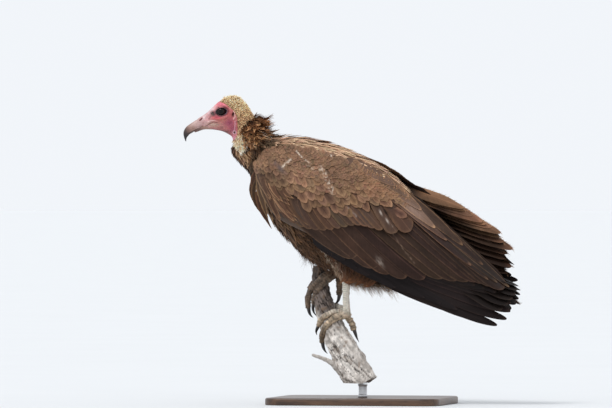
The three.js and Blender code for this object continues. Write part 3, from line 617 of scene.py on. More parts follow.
def rgb_face(px, py, w, rngkey=0):
    """colour of the bare skin, linear"""
    def over(col, target, f):
        return mix(col, lin(*target), np.clip(f, 0, 1)[..., None])
    c = np.broadcast_to(lin(196, 112, 112), (*np.shape(px), 3)).copy()
    c = over(c, (206, 164, 164), smooth(-px, -214, -204) * 0.9)                               # pale towards the cere
    c = over(c, (232, 206, 208), gauss(px, py, 211.0, 109.0, 5.4, 3.2, -40) * 0.95)
    c = over(c, (226, 116, 134), gauss(px, py, 221.5, 103.6, 6.0, 2.2) * 0.95)                # band above the eye
    c = over(c, (168, 80, 76), gauss(px, py, 229.4, 114.4, 3.6, 5.2) * 0.9)                 # behind the eye
    c = over(c, (150, 74, 72), gauss(px, py, 225, 120, 5.5, 2.6) * 0.75)
    c = over(c, (150, 62, 92), gauss(px, py, 229.0, 122.8, 5.4, 4.2) * 0.85)                 # purple cheek
    c = over(c, (160, 70, 98), gauss(px, py, 232.4, 129, 3.6, 5) * 0.85)
    c = over(c, (206, 134, 148), smooth(py, 132.6, 137.5) * smooth(px, 228, 233) * 0.85)
    c = over(c, (196, 122, 102), gauss(px, py, 222.0, 119.4, 4.6, 2.0) * 0.6)
    c = over(c, (190, 158, 142), gauss(px, py, 213, 124.4, 8.0, 2.9, 4) * 0.95)               # tan jaw
    c = over(c, (160, 104, 98), gauss(px, py, 221, 127.6, 4.5, 2.4, 8) * 0.6)
    c = over(c, (92, 58, 56), smooth(py - 0.12 * np.clip(px - 205, 0, 30), 126.4, 129.2) * smooth(-px, -234, -226) * 0.8)
    c = over(c, (204, 84, 92), gauss(px, py, 216.5, 117.4, 4.6, 1.7) * 0.85)                 # red under the eye
    c = over(c, (104, 66, 64), gauss(px, py, 213.0, 113.4, 3.2, 2.2, 30) * 1.1)                   # lores
    c = over(c, (34, 22, 24), gauss(px, py, 213.1, 113.3, 2.3, 1.8) * 1.5)
    c = over(c, (92, 60, 56), ridge(px, py, [(213.5, 113.6), (210.8, 116.0), (208.8, 118.6)], 0.8) * 0.55)
    c = over(c, (176, 60, 84), gauss(px, py, 217.4, 116.8, 2.8, 1.2, 8) * 0.8)
    c = over(c, (240, 214, 208), ridge(px, py, GAPE_LIP, 0.45) * 0.7 * smooth(-px, -217, -213))
    c = over(c, (120, 66, 66), ridge(px, py, GAPE, 0.4) * 0.85)
    # the ear opening painted near black: painted shade inside it
    c = over(c, (58, 16, 22), gauss(px, py, 233.0, 114.2, 0.95, 2.1, 8) * 1.6)
    c = over(c, (242, 196, 184), ridge(px, py, [(233.6, 110.8), (235.0, 113.4), (235.0, 116.8), (233.4, 119.0)], 0.5))
    c = over(c, (240, 196, 208), ridge(px, py, [(234.8, 121), (235.0, 124), (234.6, 128), (234.3, 130.6)], 0.42) * 0.55)
    rr = np.hypot(px - 234.3, py - 132.3)
    c = over(c, (240, 204, 214), np.exp(-((rr - 1.5) / 0.45) ** 2) * 0.75)
    c = over(c, (50, 10, 24), np.exp(-(rr / 0.95) ** 2) * 1.3)
    q, _ = lid_q(px, py)
    c = over(c, (150, 78, 86), np.exp(-((q - 1.38) / 0.16) ** 2) * 0.55)
    rear = smooth(px, 223.5, 226.5)
    c = over(c, (44, 38, 44), np.exp(-((q - 1.08) / 0.17) ** 2) * (0.98 - 0.7 * rear))
    c = over(c, (148, 152, 170), np.exp(-((q - 1.05) / 0.07) ** 2) * rear * 0.8 * smooth(py, 107, 109))
    # inside the eye opening, behind the ball: painted shade
    c = over(c, (26, 20, 22), (q < 1.02) * 1.0)
    blot = fbm(np.stack([px * 0.9, py * 0.9, w * 0.12], -1), 4, 23)
    c = c * (1 + 0.16 * blot)[..., None]
    return np.clip(c, 0, 1)


def loft_grid(nx, nt):
    """quads between the rings of a loft that closes round; the end caps are left to closed_tube"""
    idx = np.arange(nx * nt).reshape(nx, nt)
    a, b = idx[:-1], idx[1:]
    q = np.stack([a, np.roll(a, -1, 1), np.roll(b, -1, 1), b], -1).reshape(-1, 4)
    return q


def closed_tube(P):
    """P[rings, sides, 3] as one closed mesh with its faces pointing out"""
    nr, ns, _ = P.shape
    quads = loft_grid(nr, ns)
    c0, c1 = P[0].mean(0), P[-1].mean(0)
    V = np.concatenate([P.reshape(-1, 3), [c0, c1]])
    i0, i1 = nr * ns, nr * ns + 1
    k = np.arange(ns)
    k2 = (k + 1) % ns
    t0 = np.stack([np.full(ns, i0), k2, k], -1)
    t1 = np.stack([np.full(ns, i1), (nr - 1) * ns + k, (nr - 1) * ns + k2], -1)
    tris = np.concatenate([t0, t1])
    full = np.concatenate([tris, quads[:, [0, 1, 2]], quads[:, [0, 2, 3]]])
    a, b, c = V[full[:, 0]], V[full[:, 1]], V[full[:, 2]]
    if np.sum(a * np.cross(b, c)) < 0:
        quads, tris = quads[:, ::-1], tris[:, ::-1]
    return V, quads, tris


def grid_normals(P, wrap=True):
    ta = np.gradient(P, axis=0)
    tb = np.roll(P, -1, 1) - np.roll(P, 1, 1) if wrap else np.gradient(P, axis=1)
    n = unit(np.cross(ta, tb))
    mid = P.mean(1, keepdims=True)
    return -n if np.mean(np.sum(n * (P - mid), -1)) < 0 else n


# rings close together in the face, wider over the trunk
xs = np.concatenate([np.linspace(0, 9, 168, endpoint=False), np.linspace(9, 14, 44, endpoint=False), np.linspace(14, NB, 58)])
NT = 224
th = np.linspace(0, TAU, NT, endpoint=False)
X, TH = np.meshgrid(xs, th, indexing="ij")
U, H, W_ = body_uhw(X, TH)
P0 = place(U, H, W_)
N0 = grid_normals(P0)
PX, PY = grid_of(U, H)
depth, bare = coat_depth(X, PX, PY)
P1 = P0 - N0 * depth[..., None]
P1 = sculpt(P1, N0, PX, PY, W_, bare)
V_body, Q_body, T_body = closed_tube(P1)


def wing_arm(sgn):
    """the folded wing's flesh, a flat body inside its plumage"""
    rows = flat(WING)
    t = np.linspace(0.35, 7.0, 46)
    a = np.linspace(0, TAU, 48, endpoint=False)
    Tt, Aa = np.meshgrid(t, a, indexing="ij")
    r = along(rows, Tt)
    au, ah, bu, bh, yu, ym, yl, tk = (r[..., i] for i in range(8))
    c = np.cos(Aa)
    k = 0.5 + sp(c, 0.9) / 2 * 0.8
    y = yl * (1 - k) * (1 - 2 * k) + ym * 4 * k * (1 - k) + yu * k * (2 * k - 1)
    y = y + 8 + 12 * smooth(k, 0.62, 0.95)
    v = side(bu + (au - bu) * k, bh + (ah - bh) * k, y - sp(np.sin(Aa), 0.8) * np.maximum(tk - 10, 1.6) / 2)
    if sgn > 0:
        v = raised(v)
    return closed_tube(v)


def raised(v):
    v = v.copy()
    d = v[..., 0] - RAISE_FROM
    v[..., 1] *= -1
    v[..., 2] += RAISE_SLOPE * (np.hypot(d, RAISE_EASE) + d) / 2
    return v


def shin_grid(rows, t0, t1, nt, na, inset):
    rows = flat(rows)
    t = np.linspace(t0, t1, nt)
    a = np.linspace(0, TAU, na, endpoint=False)
    Tt, Aa = np.meshgrid(t, a, indexing="ij")
    r = along(rows, Tt)
    au, ah, bu, bh, y, w = (r[..., i] for i in range(6))
    c, s = np.cos(Aa), np.sin(Aa)
    v = side((au + bu) / 2 + (au - bu) / 2 * c, (ah + bh) / 2 + (ah - bh) / 2 * c, y + w * s)
    return v - grid_normals(v) * (inset * smooth(-Tt, -len(rows) + 1, -len(rows) + 2.2))[..., None]


def spline(points, n, centripetal=True):
    """points[k, 3] resampled at n even steps of a Catmull-Rom curve"""
    p = np.asarray(points, float)
    x = np.linspace(0, len(p) - 1, 16 * len(p))
    q = along(p, x)
    s = np.concatenate([[0], np.cumsum(np.linalg.norm(np.diff(q, axis=0), axis=1))])
    t = np.linspace(0, s[-1], n)
    return np.stack([np.interp(t, s, q[:, i]) for i in range(3)], -1), np.interp(t, s, x), s[-1]


def frames(c, ref=(0, 0, 1)):
    t = unit(np.gradient(c, axis=0))
    n = np.zeros_like(c)
    v = np.asarray(ref, float)
    for i in range(len(c)):
        v = v - t[i] * np.dot(v, t[i])
        v = v / max(np.linalg.norm(v), 1e-9)
        n[i] = v
    return t, n, np.cross(t, n)


def tube_grid(points, radii, n, sides, ref=(0, 0, 1), cap=True):
    c, x, length = spline(points, n)
    r = along(np.asarray(radii, float)[:, None], x)[:, 0]
    if cap:
        s = np.linspace(0, length, n)
        e = np.minimum(s, length - s) / np.maximum(r, 0.1)
        r = r * np.sqrt(np.clip(1 - (1 - np.clip(e, 0, 1)) ** 2, 0.004, 1))
    t, a, b = frames(c, ref)
    an = np.linspace(0, TAU, sides, endpoint=False)
    return c[:, None] + r[:, None, None] * (np.cos(an)[None, :, None] * a[:, None] + np.sin(an)[None, :, None] * b[:, None]), c, r


def pts3(rows):
    return np.array([side(*el(*p), y) for p, y, *_ in rows])


def foot_mesh(name, tarsus, toes, voxel=0.95):
    """tarsus, toes and their scales as one closed mesh"""
    parts, lines = [], []
    tp = pts3(tarsus)
    tr = np.array([r[2] for r in tarsus]) * 0.93
    up = tp[0] + (tp[0] - tp[1]) / np.linalg.norm(tp[0] - tp[1]) * 10
    g, c, r = tube_grid(np.vstack([up, tp]), np.concatenate([[tr[0] * 1.1], tr]), 60, 24, cap=True)
    parts.append(g)
    lines.append((c, r, 0))
    for i, (pts, r0, r1) in enumerate(toes):
        q = np.array([side(*el(*p), y) for p, y in pts])
        q = np.vstack([q, q[-1] + (q[-1] - q[-2]) / np.linalg.norm(q[-1] - q[-2]) * r1 * 0.6])
        rr = np.linspace(r0, r1, len(q))
        rr[-1] = r1 * 0.62
        c, x, length = spline(q, 90)
        r = along(rr[:, None], x)[:, 0]
        s = np.linspace(0, 1, 90)
        # joints swell a little, with pads between them
        for j in (0.30, 0.56, 0.80):
            r = r * (1 + 0.17 * np.exp(-((s - j) / 0.05) ** 2) - 0.05 * np.exp(-((s - j - 0.13) / 0.05) ** 2))
        e = np.minimum(np.linspace(0, length, 90), length - np.linspace(0, length, 90)) / np.maximum(r, 0.1)
        r2 = r * np.sqrt(np.clip(1 - (1 - np.clip(e, 0, 1)) ** 2, 0.01, 1))
        t, a, b = frames(c)
        an = np.linspace(0, TAU, 20, endpoint=False)
        parts.append(c[:, None] + r2[:, None, None] * (np.cos(an)[None, :, None] * a[:, None] + np.sin(an)[None, :, None] * b[:, None]))
        lines.append((c, r, i + 1))
    # the ball of the foot
    cen = tp[-1] + np.array([0, 0, -1.0])
    uu, vv = np.meshgrid(np.linspace(0.05, math.pi - 0.05, 18), np.linspace(0, TAU, 24, endpoint=False), indexing="ij")
    parts.append(cen + np.stack([9.3 * np.sin(uu) * np.cos(vv), 8.2 * np.sin(uu) * np.sin(vv), 7.6 * np.cos(uu)], -1))
    V, Q, T, off = [], [], [], 0
    for g in parts:
        v, q, t = closed_tube(g)
        V.append(v), Q.append(q + off), T.append(t + off)
        off += len(v)
    ob = make_mesh(name, np.concatenate(V), np.concatenate(Q), np.concatenate(T))
    md = ob.modifiers.new("one", "REMESH")
    md.mode, md.voxel_size = "VOXEL", voxel * 0.001
    sm = ob.modifiers.new("soft", "SMOOTH")
    sm.factor, sm.iterations = 0.5, 5
    dg = bpy.context.evaluated_depsgraph_get()
    me = bpy.data.meshes.new_from_object(ob.evaluated_get(dg))
    bpy.data.objects.remove(ob)
    n = len(me.vertices)
    co = np.zeros(n * 3, np.float32)
    me.vertices.foreach_get("co", co)
    no = np.zeros(n * 3, np.float32)
    me.vertices.foreach_get("normal", no)
    co, no = co.reshape(-1, 3) * 1000.0, no.reshape(-1, 3)
    # nearest centre line gives each point its place on a toe: scutes across the top, grains elsewhere
    best = np.full(n, 1e9)
    s_at, up_at, kind = np.zeros(n), np.zeros(n), np.zeros(n, int)
    for c, r, k in lines:
        s = np.concatenate([[0], np.cumsum(np.linalg.norm(np.diff(c, axis=0), axis=1))])
        t, a, b = frames(c)
        for lo in range(0, n, 20000):
            blk = co[lo:lo + 20000]
            dd = np.linalg.norm(blk[:, None] - c[None], axis=2) / r[None]
            j = dd.argmin(1)
            m = dd[np.arange(len(blk)), j]
            better = m < best[lo:lo + 20000]
            rel = blk - c[j]
            if k == 0:
                front = rel @ np.array([-1.0, -0.35, 0.0])
            else:
                front = rel[:, 2] * 0.75 + (-rel[:, 0]) * 0.5 - rel[:, 1] * 0.25
            upv = front / np.maximum(np.linalg.norm(rel, axis=1), 0.1)
            sl = slice(lo, lo + 20000)
            along_s = s[j] + np.sum(rel * t[j], 1)
            best[sl] = np.where(better, m, best[sl])
            s_at[sl] = np.where(better, along_s, s_at[sl])
            up_at[sl] = np.where(better, upv, up_at[sl])
            kind[sl] = np.where(better, k, kind[sl])
    pitch = np.where(kind == 0, 3.4, 2.7)
    ph = np.mod(s_at / pitch, 1.0)
    step = (0.42 * np.sqrt(np.clip(1 - ph, 0, 1)) - 0.25) - 0.34 * np.exp(-((ph - 0.02) / 0.07) ** 2) - 0.34 * np.exp(-((ph - 1.0) / 0.07) ** 2)
    top = smooth(up_at, 0.15, 0.5)
    cell = vnoise(co * 0.62, 5) * 0.50 + vnoise(co * 1.3, 9) * 0.22
    h = step * top * 1.5 + cell * (1 - top) * 1.4
    co = co + no * h[:, None]
    me.vertices.foreach_set("co", (co * 0.001).astype(np.float32).ravel())
    me.update()
    groove = (np.exp(-((ph - 0.02) / 0.1) ** 2) + np.exp(-((ph - 1.0) / 0.1) ** 2)) * top
    out = bpy.data.objects.new(name, me)
    bpy.context.scene.collection.objects.link(out)
    return out, co, groove, cell, lines


body_ob = make_mesh("skin", V_body, Q_body, T_body)
joined = []
for sgn, nm in ((-1, "arm_left"), (1, "arm_right")):
    v, q, t = wing_arm(sgn)
    joined.append(make_mesh(nm, v, q, t))
for nm, rows in (("shin_left", THIGH_L), ("shin_right", THIGH_R)):
    g = shin_grid(rows, 0, len(rows) - 1, 40, 44, 7.0)
    v, q, t = closed_tube(g)
    joined.append(make_mesh(nm, v, q, t))
foot_l = foot_mesh("foot_l", TARSUS_L, TOES_L)
foot_r = foot_mesh("foot_r", TARSUS_R, TOES_R)
joined += [foot_l[0], foot_r[0]]
for o in joined:
    md = body_ob.modifiers.new("join", "BOOLEAN")
    md.operation, md.solver, md.object = "UNION", "MANIFOLD", o
dg = bpy.context.evaluated_depsgraph_get()
skin_me = bpy.data.meshes.new_from_object(body_ob.evaluated_get(dg))
body_ob.modifiers.clear()
old = body_ob.data
body_ob.data = skin_me
bpy.data.meshes.remove(old)
for o in joined:
    me = o.data
    bpy.data.objects.remove(o)
    bpy.data.meshes.remove(me)
skin_me.name = "skin"

# colours of the skin: the face's own, plumage colours where a coat covers it, the legs' scales
n = len(skin_me.vertices)
co = np.zeros(n * 3, np.float32)
skin_me.vertices.foreach_get("co", co)
co = co.reshape(-1, 3) * 1000.0
uu = (co[:, 0] - PIVOT / COS) * COS + co[:, 1] * SIN + PIVOT      # the head plane's own u and w
ww = -(co[:, 0] - PIVOT / COS) * SIN + co[:, 1] * COS
hx, hy = grid_of(uu, co[:, 2])
face = rgb_face(hx, hy, ww)
is_head = smooth(-hx, -256, -248) * smooth(-hy, -150, -142)
bare_v = smooth(down_edge(hx, hy), -0.5, 0.5) * (hy < 146) * (hx < 246)
under = np.broadcast_to(lin(84, 62, 46), (n, 3)) * (1 + 0.2 * fbm(co * 0.05, 3, 3))[:, None]
buff = np.broadcast_to(lin(150, 116, 78), (n, 3))
cream = np.broadcast_to(lin(206, 182, 146), (n, 3))
col = mix(under, buff, (is_head * smooth(-hy, -141, -134))[:, None])
col = mix(col, cream, (gauss(hx, hy, 238.5, 146, 5.0, 6.0))[:, None])
col = mix(col, face, bare_v[:, None])
legs = smooth(-co[:, 2], -232, -222)
in_leg = (co[:, 2] < 240) & (co[:, 0] < 4) & (co[:, 0] > -110)
def leg_colour(co, right):
    """pale tarsus, tan toes, and the right foot, behind the left and under the body, painted darker brown: painted
    shade
    """
    c = np.broadcast_to(lin(210, 202, 188), (len(co), 3)).copy()
    low = smooth(-co[:, 2], -168, -146)
    c = mix(c, lin(164, 140, 112), (0.85 * low)[:, None])
    c = mix(c, lin(104, 84, 64), (0.9 * smooth(-co[:, 2], -142, -116))[:, None])
    # painted shade on the whole right foot
    c = mix(c, lin(108, 88, 70), (0.97 * right)[:, None])
    return c * (1 + 0.6 * np.clip(vnoise(co * 0.22, 81) + 0.5 * vnoise(co * 0.6, 82), -0.75, 0.9) * np.maximum(low, right))[:, None]


for ob, fco, groove, cell, lines in (foot_l, foot_r):
    for c, r, k in lines:
        pass
g_all = np.concatenate([foot_l[2], foot_r[2]])
f_all = np.concatenate([foot_l[1], foot_r[1]])
from mathutils.kdtree import KDTree
kd = KDTree(len(f_all))
for i, p in enumerate(f_all):
    kd.insert(p, i)
kd.balance()
gr = np.zeros(n)
on_right = np.zeros(n)
for i in np.nonzero(in_leg)[0]:
    _, j, dist = kd.find(co[i])
    on_right[i] = j >= len(foot_l[1])
    if dist < 1.2:
        gr[i] = g_all[j]
    else:
        gr[i] = -1
on_foot = in_leg & (gr >= 0)
leg_col = leg_colour(co, on_right)
tone = (1 - 0.62 * np.clip(gr, 0, 1)) * (1 + 0.14 * fbm(co * 0.35, 3, 31)) * (1 + 0.1 * vnoise(co * 1.1, 6))
leg_col = leg_col * tone[:, None]
col = np.where(on_foot[:, None], leg_col, col)
wet = np.where(on_foot, 0.35, np.where(bare_v > 0.5, 1.0, 0.0))
at = skin_me.attributes.new("Col", "FLOAT_COLOR", "POINT")
at.data.foreach_set("color", np.concatenate([np.clip(col, 0, 1), wet[:, None]], 1).astype(np.float32).ravel())
skin_me.polygons.foreach_set("use_smooth", np.ones(len(skin_me.polygons), bool))
print("skin", len(skin_me.vertices), "verts", sum(max(len(p.vertices) - 2, 1) for p in skin_me.polygons), "tris")

k = M_SKIN = Nodes("bare_skin")
ca = k.n("ShaderNodeAttribute", attribute_name="Col")
xyz = k.coords((1000, 1000, 1000))
pores = k.voronoi(xyz, 1.5, "F1")
wr = k.noise(xyz, 0.9, 5, 0.6, 1.2)
fine = k.noise(xyz, 3.4, 3, 0.6)
fac = k.math("MULTIPLY_ADD", k.math("SUBTRACT", wr, 0.5), 0.42, k.map(pores, 0.0, 0.7, 1.06, 0.92))
k.link(k.scalef(ca.outputs["Color"], fac), k.b.inputs["Base Color"])
k.link(k.map(k.math("MULTIPLY_ADD", wr, 0.5, k.math("MULTIPLY", fine, 0.5)), 0.35, 0.65, 0.42, 0.62), k.b.inputs["Roughness"])
k.set(Specular_IOR_Level=0.4, Subsurface_Weight=0.12, Subsurface_Scale=0.0015)
k.b.inputs["Subsurface Radius"].default_value = (1.0, 0.35, 0.25)
hgt = k.math("ADD", k.math("MULTIPLY", wr, 1.0), k.math("ADD", k.math("MULTIPLY", fine, 0.3), k.math("MULTIPLY", pores, 0.35)))
k.bump(hgt, 0.5, 0.0005)
skin_me.materials.clear()
skin_me.materials.append(k.m)
for p in skin_me.polygons:
    pass
skin_me.polygons.foreach_set("material_index", np.zeros(len(skin_me.polygons), np.int32))
put(body_ob, "bare_skin", ("trunk", "neck", "head", "thigh_left", "thigh_right", "tarsus_left", "tarsus_right", "foot_left", "foot_right", "wing_left", "wing_right"))


# ------------------------------------------------------------------ bill
def bill_grid(rows, nx, nt, tip, lower=False):
    T = flat(rows)
    x = np.linspace(0, len(T) - 1, nx)
    a = np.linspace(0, TAU, nt, endpoint=False)
    Xx, Aa = np.meshgrid(x, a, indexing="ij")
    r = along(T, Xx)
    au, ah, bu, bh, w = (r[..., i] for i in range(5))
    c, s = np.cos(Aa), np.sin(Aa)
    if lower:
        c2 = sp(c, 0.8)
        wide = 0.9 * sp(s, 0.8) * (1 + 0.12 * c)
    else:
        c2 = c
        wide = sp(s, 0.82) * (0.9 - 0.16 * c)
    U, H, Wd = (au + bu) / 2 + (au - bu) / 2 * c2, (ah + bh) / 2 + (ah - bh) / 2 * c2, w * wide
    return U, H, Wd, Xx, Aa


U, H, Wd, Xx, Aa = bill_grid(BILL_U, 130, 96, True)
px, py = grid_of(U, H)
P = head_at(U, H, Wd)
N = grid_normals(P)
latb = smooth(np.abs(Wd), 2.2, 4.5)
NOS = [(199.6, 120.2), (200.7, 119.1), (201.6, 118.0)]
rel = -1.9 * ridge(px, py, NOS, 0.62) * latb + 0.55 * (ridge(px, py, NOS, 1.5) - ridge(px, py, NOS, 0.8)) * latb
rel += 0.5 * smooth(px, 196.6, 199.0) * smooth(-px, -208, -205)                       # the cere swells over the horn
rel += -0.35 * ridge(px, py, [(197.2, 116.4), (196.4, 120), (196.2, 124), (197.4, 128.6)], 0.4)
rel += 0.35 * ridge(px, py, [(186.6, 133.2), (190.6, 131.2), (195.4, 128.9), (201.4, 126.6)], 0.7) * latb   # cutting edge
rel += -0.3 * ridge(px, py, [(188, 131.4), (192, 129.4), (196, 127.6), (201, 125.2)], 0.5) * latb
rel += 0.10 * fbm(np.stack([px * 0.8 + py * 0.5, (py - px * 0.6) * 3.5, Wd * 0.4], -1), 4, 41) * smooth(-px, -199, -196)
rel += 0.22 * fbm(np.stack([px * 1.5, py * 1.5, Wd * 0.6], -1), 3, 43) * smooth(px, 197, 200)
P = P + N * rel[..., None]
V, Q, T = closed_tube(P)
c = np.broadcast_to(lin(150, 116, 104), (*px.shape, 3)).copy()
def over(c, target, f):
    return mix(c, lin(*target), np.clip(f, 0, 1)[..., None])
s_ax = (px - 184) * 0.86 - (py - 133) * 0.5          # distance back along the bill
c = over(c, (186, 152, 146), smooth(s_ax, 9.5, 15.5))
c = over(c, (200, 160, 158), smooth(px, 198, 202) * 0.8)
c = over(c, (222, 196, 196), gauss(px, py, 204.0, 117.2, 3.2, 2.0, -30) * 0.8)
c = over(c, (182, 118, 116), gauss(px, py, 204.5, 122.8, 2.6, 3.0) * 0.6)
c = over(c, (196, 168, 160), gauss(px, py, 193.5, 123.5, 4.5, 1.6, -38) * 0.6)
c = over(c, (112, 84, 74), smooth(-s_ax, -8.5, -4.5) * 0.85)
c = over(c, (56, 44, 42), smooth(-s_ax, -5.6, -1.4) * 0.95)
c = over(c, (30, 24, 25), smooth(py, 131.5, 135.5) * smooth(-px, -193, -188))
c = over(c, (60, 44, 42), ridge(px, py, [(186.6, 134.6), (190.8, 132.4), (195.6, 130.1), (201.4, 127.9)], 0.75) * 0.9 * smooth(-px, -203, -199))
c = over(c, (74, 54, 50), ridge(px, py, [(189, 133.0), (195, 130.6), (201, 128.6), (208, 127.6)], 1.3) * 0.8)
c = over(c, (150, 52, 60), ridge(px, py, NOS, 0.85) * latb)
# the nostril's opening painted dark: painted shade inside it
c = over(c, (70, 16, 22), ridge(px, py, NOS, 0.45) * latb)
c = c * (1 + 0.14 * fbm(np.stack([px * 0.7 + py * 0.4, (py - px * 0.6) * 2.6, Wd * 0.3], -1), 4, 47))[..., None]
cv = np.concatenate([np.clip(c, 0, 1).reshape(-1, 3), np.clip(c[0].mean(0), 0, 1)[None], np.clip(c[-1].mean(0), 0, 1)[None]])


def horn_material(name, rough, lines=1.0):
    k = Nodes(name)
    ca = k.n("ShaderNodeAttribute", attribute_name="Col")
    v = k.coords((1000, 1000, 1000))
    w1 = k.noise(v, 0.9, 4, 0.6, 0.5)
    w2 = k.noise(v, 5.0, 3, 0.6)
    k.link(k.scalef(ca.outputs["Color"], k.map(k.math("MULTIPLY_ADD", w2, 0.4, k.math("MULTIPLY", w1, 0.6)), 0.3, 0.7, 0.8, 1.16)), k.b.inputs["Base Color"])
    k.link(k.map(w1, 0.3, 0.7, rough - 0.07, rough + 0.12), k.b.inputs["Roughness"])
    k.set(Specular_IOR_Level=0.45, Coat_Weight=0.12, Coat_Roughness=0.25)
    k.bump(k.math("MULTIPLY_ADD", w2, 0.4, w1), 0.22, 0.0004)
    return k.m


M_HORN = horn_material("bill_horn", 0.42)
M_CLAW = horn_material("claw_horn", 0.3)


def rgba(c, a=1.0):
    return np.concatenate([np.clip(c, 0, 1), np.full((len(c), 1), a)], 1)


put(make_mesh("bill_upper_horn", V, Q, T, [M_HORN], attrs={"Col": ("FLOAT_COLOR", rgba(cv))}), "bill_horn", ("bill_upper",))
U, H, Wd, Xx, Aa = bill_grid(BILL_L, 60, 48, True, True)
px, py = grid_of(U, H)
P = head_at(U, H, Wd)
P = P + grid_normals(P) * (0.12 * fbm(np.stack([px, py * 2.0, Wd * 0.4], -1), 3, 53))[..., None]
V, Q, T = closed_tube(P)
c = np.broadcast_to(lin(164, 126, 112), (*px.shape, 3)).copy()
c = over(c, (96, 70, 64), smooth(-px, -206, -197))
c = over(c, (54, 42, 40), smooth(-px, -197, -193))
c = over(c, (150, 108, 100), smooth(py, 129.8, 131.5) * 0.5)
cv = np.concatenate([c.reshape(-1, 3), c[0].mean(0)[None], c[-1].mean(0)[None]])
put(make_mesh("bill_lower_horn", V, Q, T, [M_HORN], attrs={"Col": ("FLOAT_COLOR", rgba(cv))}), "bill_horn", ("bill_lower",))

# ------------------------------------------------------------------ eyes
k = Nodes("eye_wet")
ca = k.n("ShaderNodeAttribute", attribute_name="Col")
v = k.coords((1000, 1000, 1000))
g = k.noise(v, 2.2, 4, 0.7, 1.5)
k.link(k.scalef(ca.outputs["Color"], k.map(g, 0.3, 0.7, 0.7, 1.35)), k.b.inputs["Base Color"])
k.link(k.map(g, 0.2, 0.8, 0.05, 0.08), k.b.inputs["Roughness"])
k.set(Specular_IOR_Level=0.12, Coat_Weight=0.35, Coat_Roughness=0.02, Coat_IOR=1.35)
M_EYE = k.m
for sgn, nm in ((-1, "left"), (1, "right")):
    n1, n2 = 64, 72
    al = np.linspace(0.0, math.pi, n1)[:, None] * np.ones((1, n2))
    ph = np.linspace(0, TAU, n2, endpoint=False)[None] * np.ones((n1, 1))
    al[0], al[-1] = 0.002, math.pi - 0.002
    ir = 5.9 / EYE_R                                                # angle at the iris's rim
    rr = EYE_R + 0.75 * (1 - smooth(al, 0.0, ir * 1.15)) - 0.12 * np.exp(-((al - ir * 1.12) / 0.07) ** 2)
    gx, gy = -0.10, 0.05                                           # looks a little forward
    w = rr * np.cos(al)
    a, b = rr * np.sin(al) * np.cos(ph), rr * np.sin(al) * np.sin(ph)
    a = a + gx * w
    p = head_at(EYE[0] + a, EYE[1] + b + gy * w, sgn * (EYE_SIDE - 0.9 + w))
    c = np.broadcast_to(lin(8, 6, 6), (n1, n2, 3)).copy()
    c = over(c, (26, 17, 14), smooth(al, 0.27, 0.31) * smooth(-al, -ir, -ir + 0.06))
    c = over(c, (40, 26, 20), np.exp(-((al - 0.42) / 0.08) ** 2) * (0.5 + 0.5 * vnoise(np.stack([np.cos(ph) * 9, np.sin(ph) * 9, al * 3], -1), 3)))
    c = over(c, (22, 17, 18), smooth(al, ir, ir + 0.1))
    V, Q, T = closed_tube(p)
    cv = np.concatenate([c.reshape(-1, 3), c[0].mean(0)[None], c[-1].mean(0)[None]])
    put(make_mesh("eye_" + nm + "_ball", V, Q, T, [M_EYE], attrs={"Col": ("FLOAT_COLOR", rgba(cv))}), "eye", ("eye_" + nm,))

# ------------------------------------------------------------------ claws
names = ["middle", "inner", "outer", "hind"]
for sd, claws in (("left", CLAWS_L), ("right", CLAWS_R)):
    for nm, (pts, r) in zip(names, claws):
        q = np.array([side(*el(*p), y) for p, y in pts])
        back = q[0] - (q[1] - q[0]) / np.linalg.norm(q[1] - q[0]) * 2.2
        g, c, rr = tube_grid(np.vstack([back, q]), [r * 0.9, r, r * 0.8, r * 0.46, 0.25], 44, 20, cap=False)
        # flatter below, ridged above
        t, a, b = frames(c)
        s = np.linspace(0, 1, 44)[:, None]
        g = g + grid_normals(g) * (0.09 * fbm(np.stack([s * 6 * np.ones((1, 20)), np.cos(np.linspace(0, TAU, 20, endpoint=False))[None] * 3 * np.ones((44, 1)), 0 * s * np.ones((1, 20))], -1), 3, 61))[..., None]
        V, Q, T = closed_tube(g)
        cc = mix(lin(66, 58, 54), lin(22, 19, 20), smooth(s, 0.1, 0.5)[..., None]) * np.ones((44, 20, 1))
        cv = np.concatenate([cc.reshape(-1, 3), cc[0].mean(0)[None], cc[-1].mean(0)[None]])
        put(make_mesh("claw_" + sd + "_" + nm + "_horn", V, Q, T, [M_CLAW], attrs={"Col": ("FLOAT_COLOR", rgba(cv))}), "claw_horn", ("claw_" + sd + "_" + nm,))

# ------------------------------------------------------------------ branch
q = pts3(BRANCH)
first = q[0] + (q[0] - q[1]) / np.linalg.norm(q[0] - q[1]) * 2
NR, NS = 300, 128
c, x, length = spline(q, NR)
r = along(np.array([b[2] for b in BRANCH], float)[:, None], x)[:, 0]
t, a, b = frames(c, (0, 1, 0))
an = np.linspace(0, TAU, NS, endpoint=False)
s = np.linspace(0, length, NR)
Sg, Ag = np.meshgrid(s, an, indexing="ij")
tw = Ag + 0.012 * Sg                                                 # the grain winds round
cyl = np.stack([np.cos(tw) * 3.2, np.sin(tw) * 3.2, Sg * 0.022], -1)
wide = fbm(np.stack([np.cos(Ag) * 1.1, np.sin(Ag) * 1.1, Sg * 0.018], -1), 3, 71)
grain = fbm(np.stack([np.cos(tw) * 7, np.sin(tw) * 7, Sg * 0.03], -1), 3, 73)
crk = fbm(cyl, 3, 75)
crack = np.exp(-(crk / 0.055) ** 2) * smooth(vnoise(np.stack([np.cos(tw) * 2, np.sin(tw) * 2, Sg * 0.03], -1), 77), -0.3, 0.3)
rr = r[:, None] * (1 + 0.055 * wide) + 0.55 * grain - 1.7 * crack
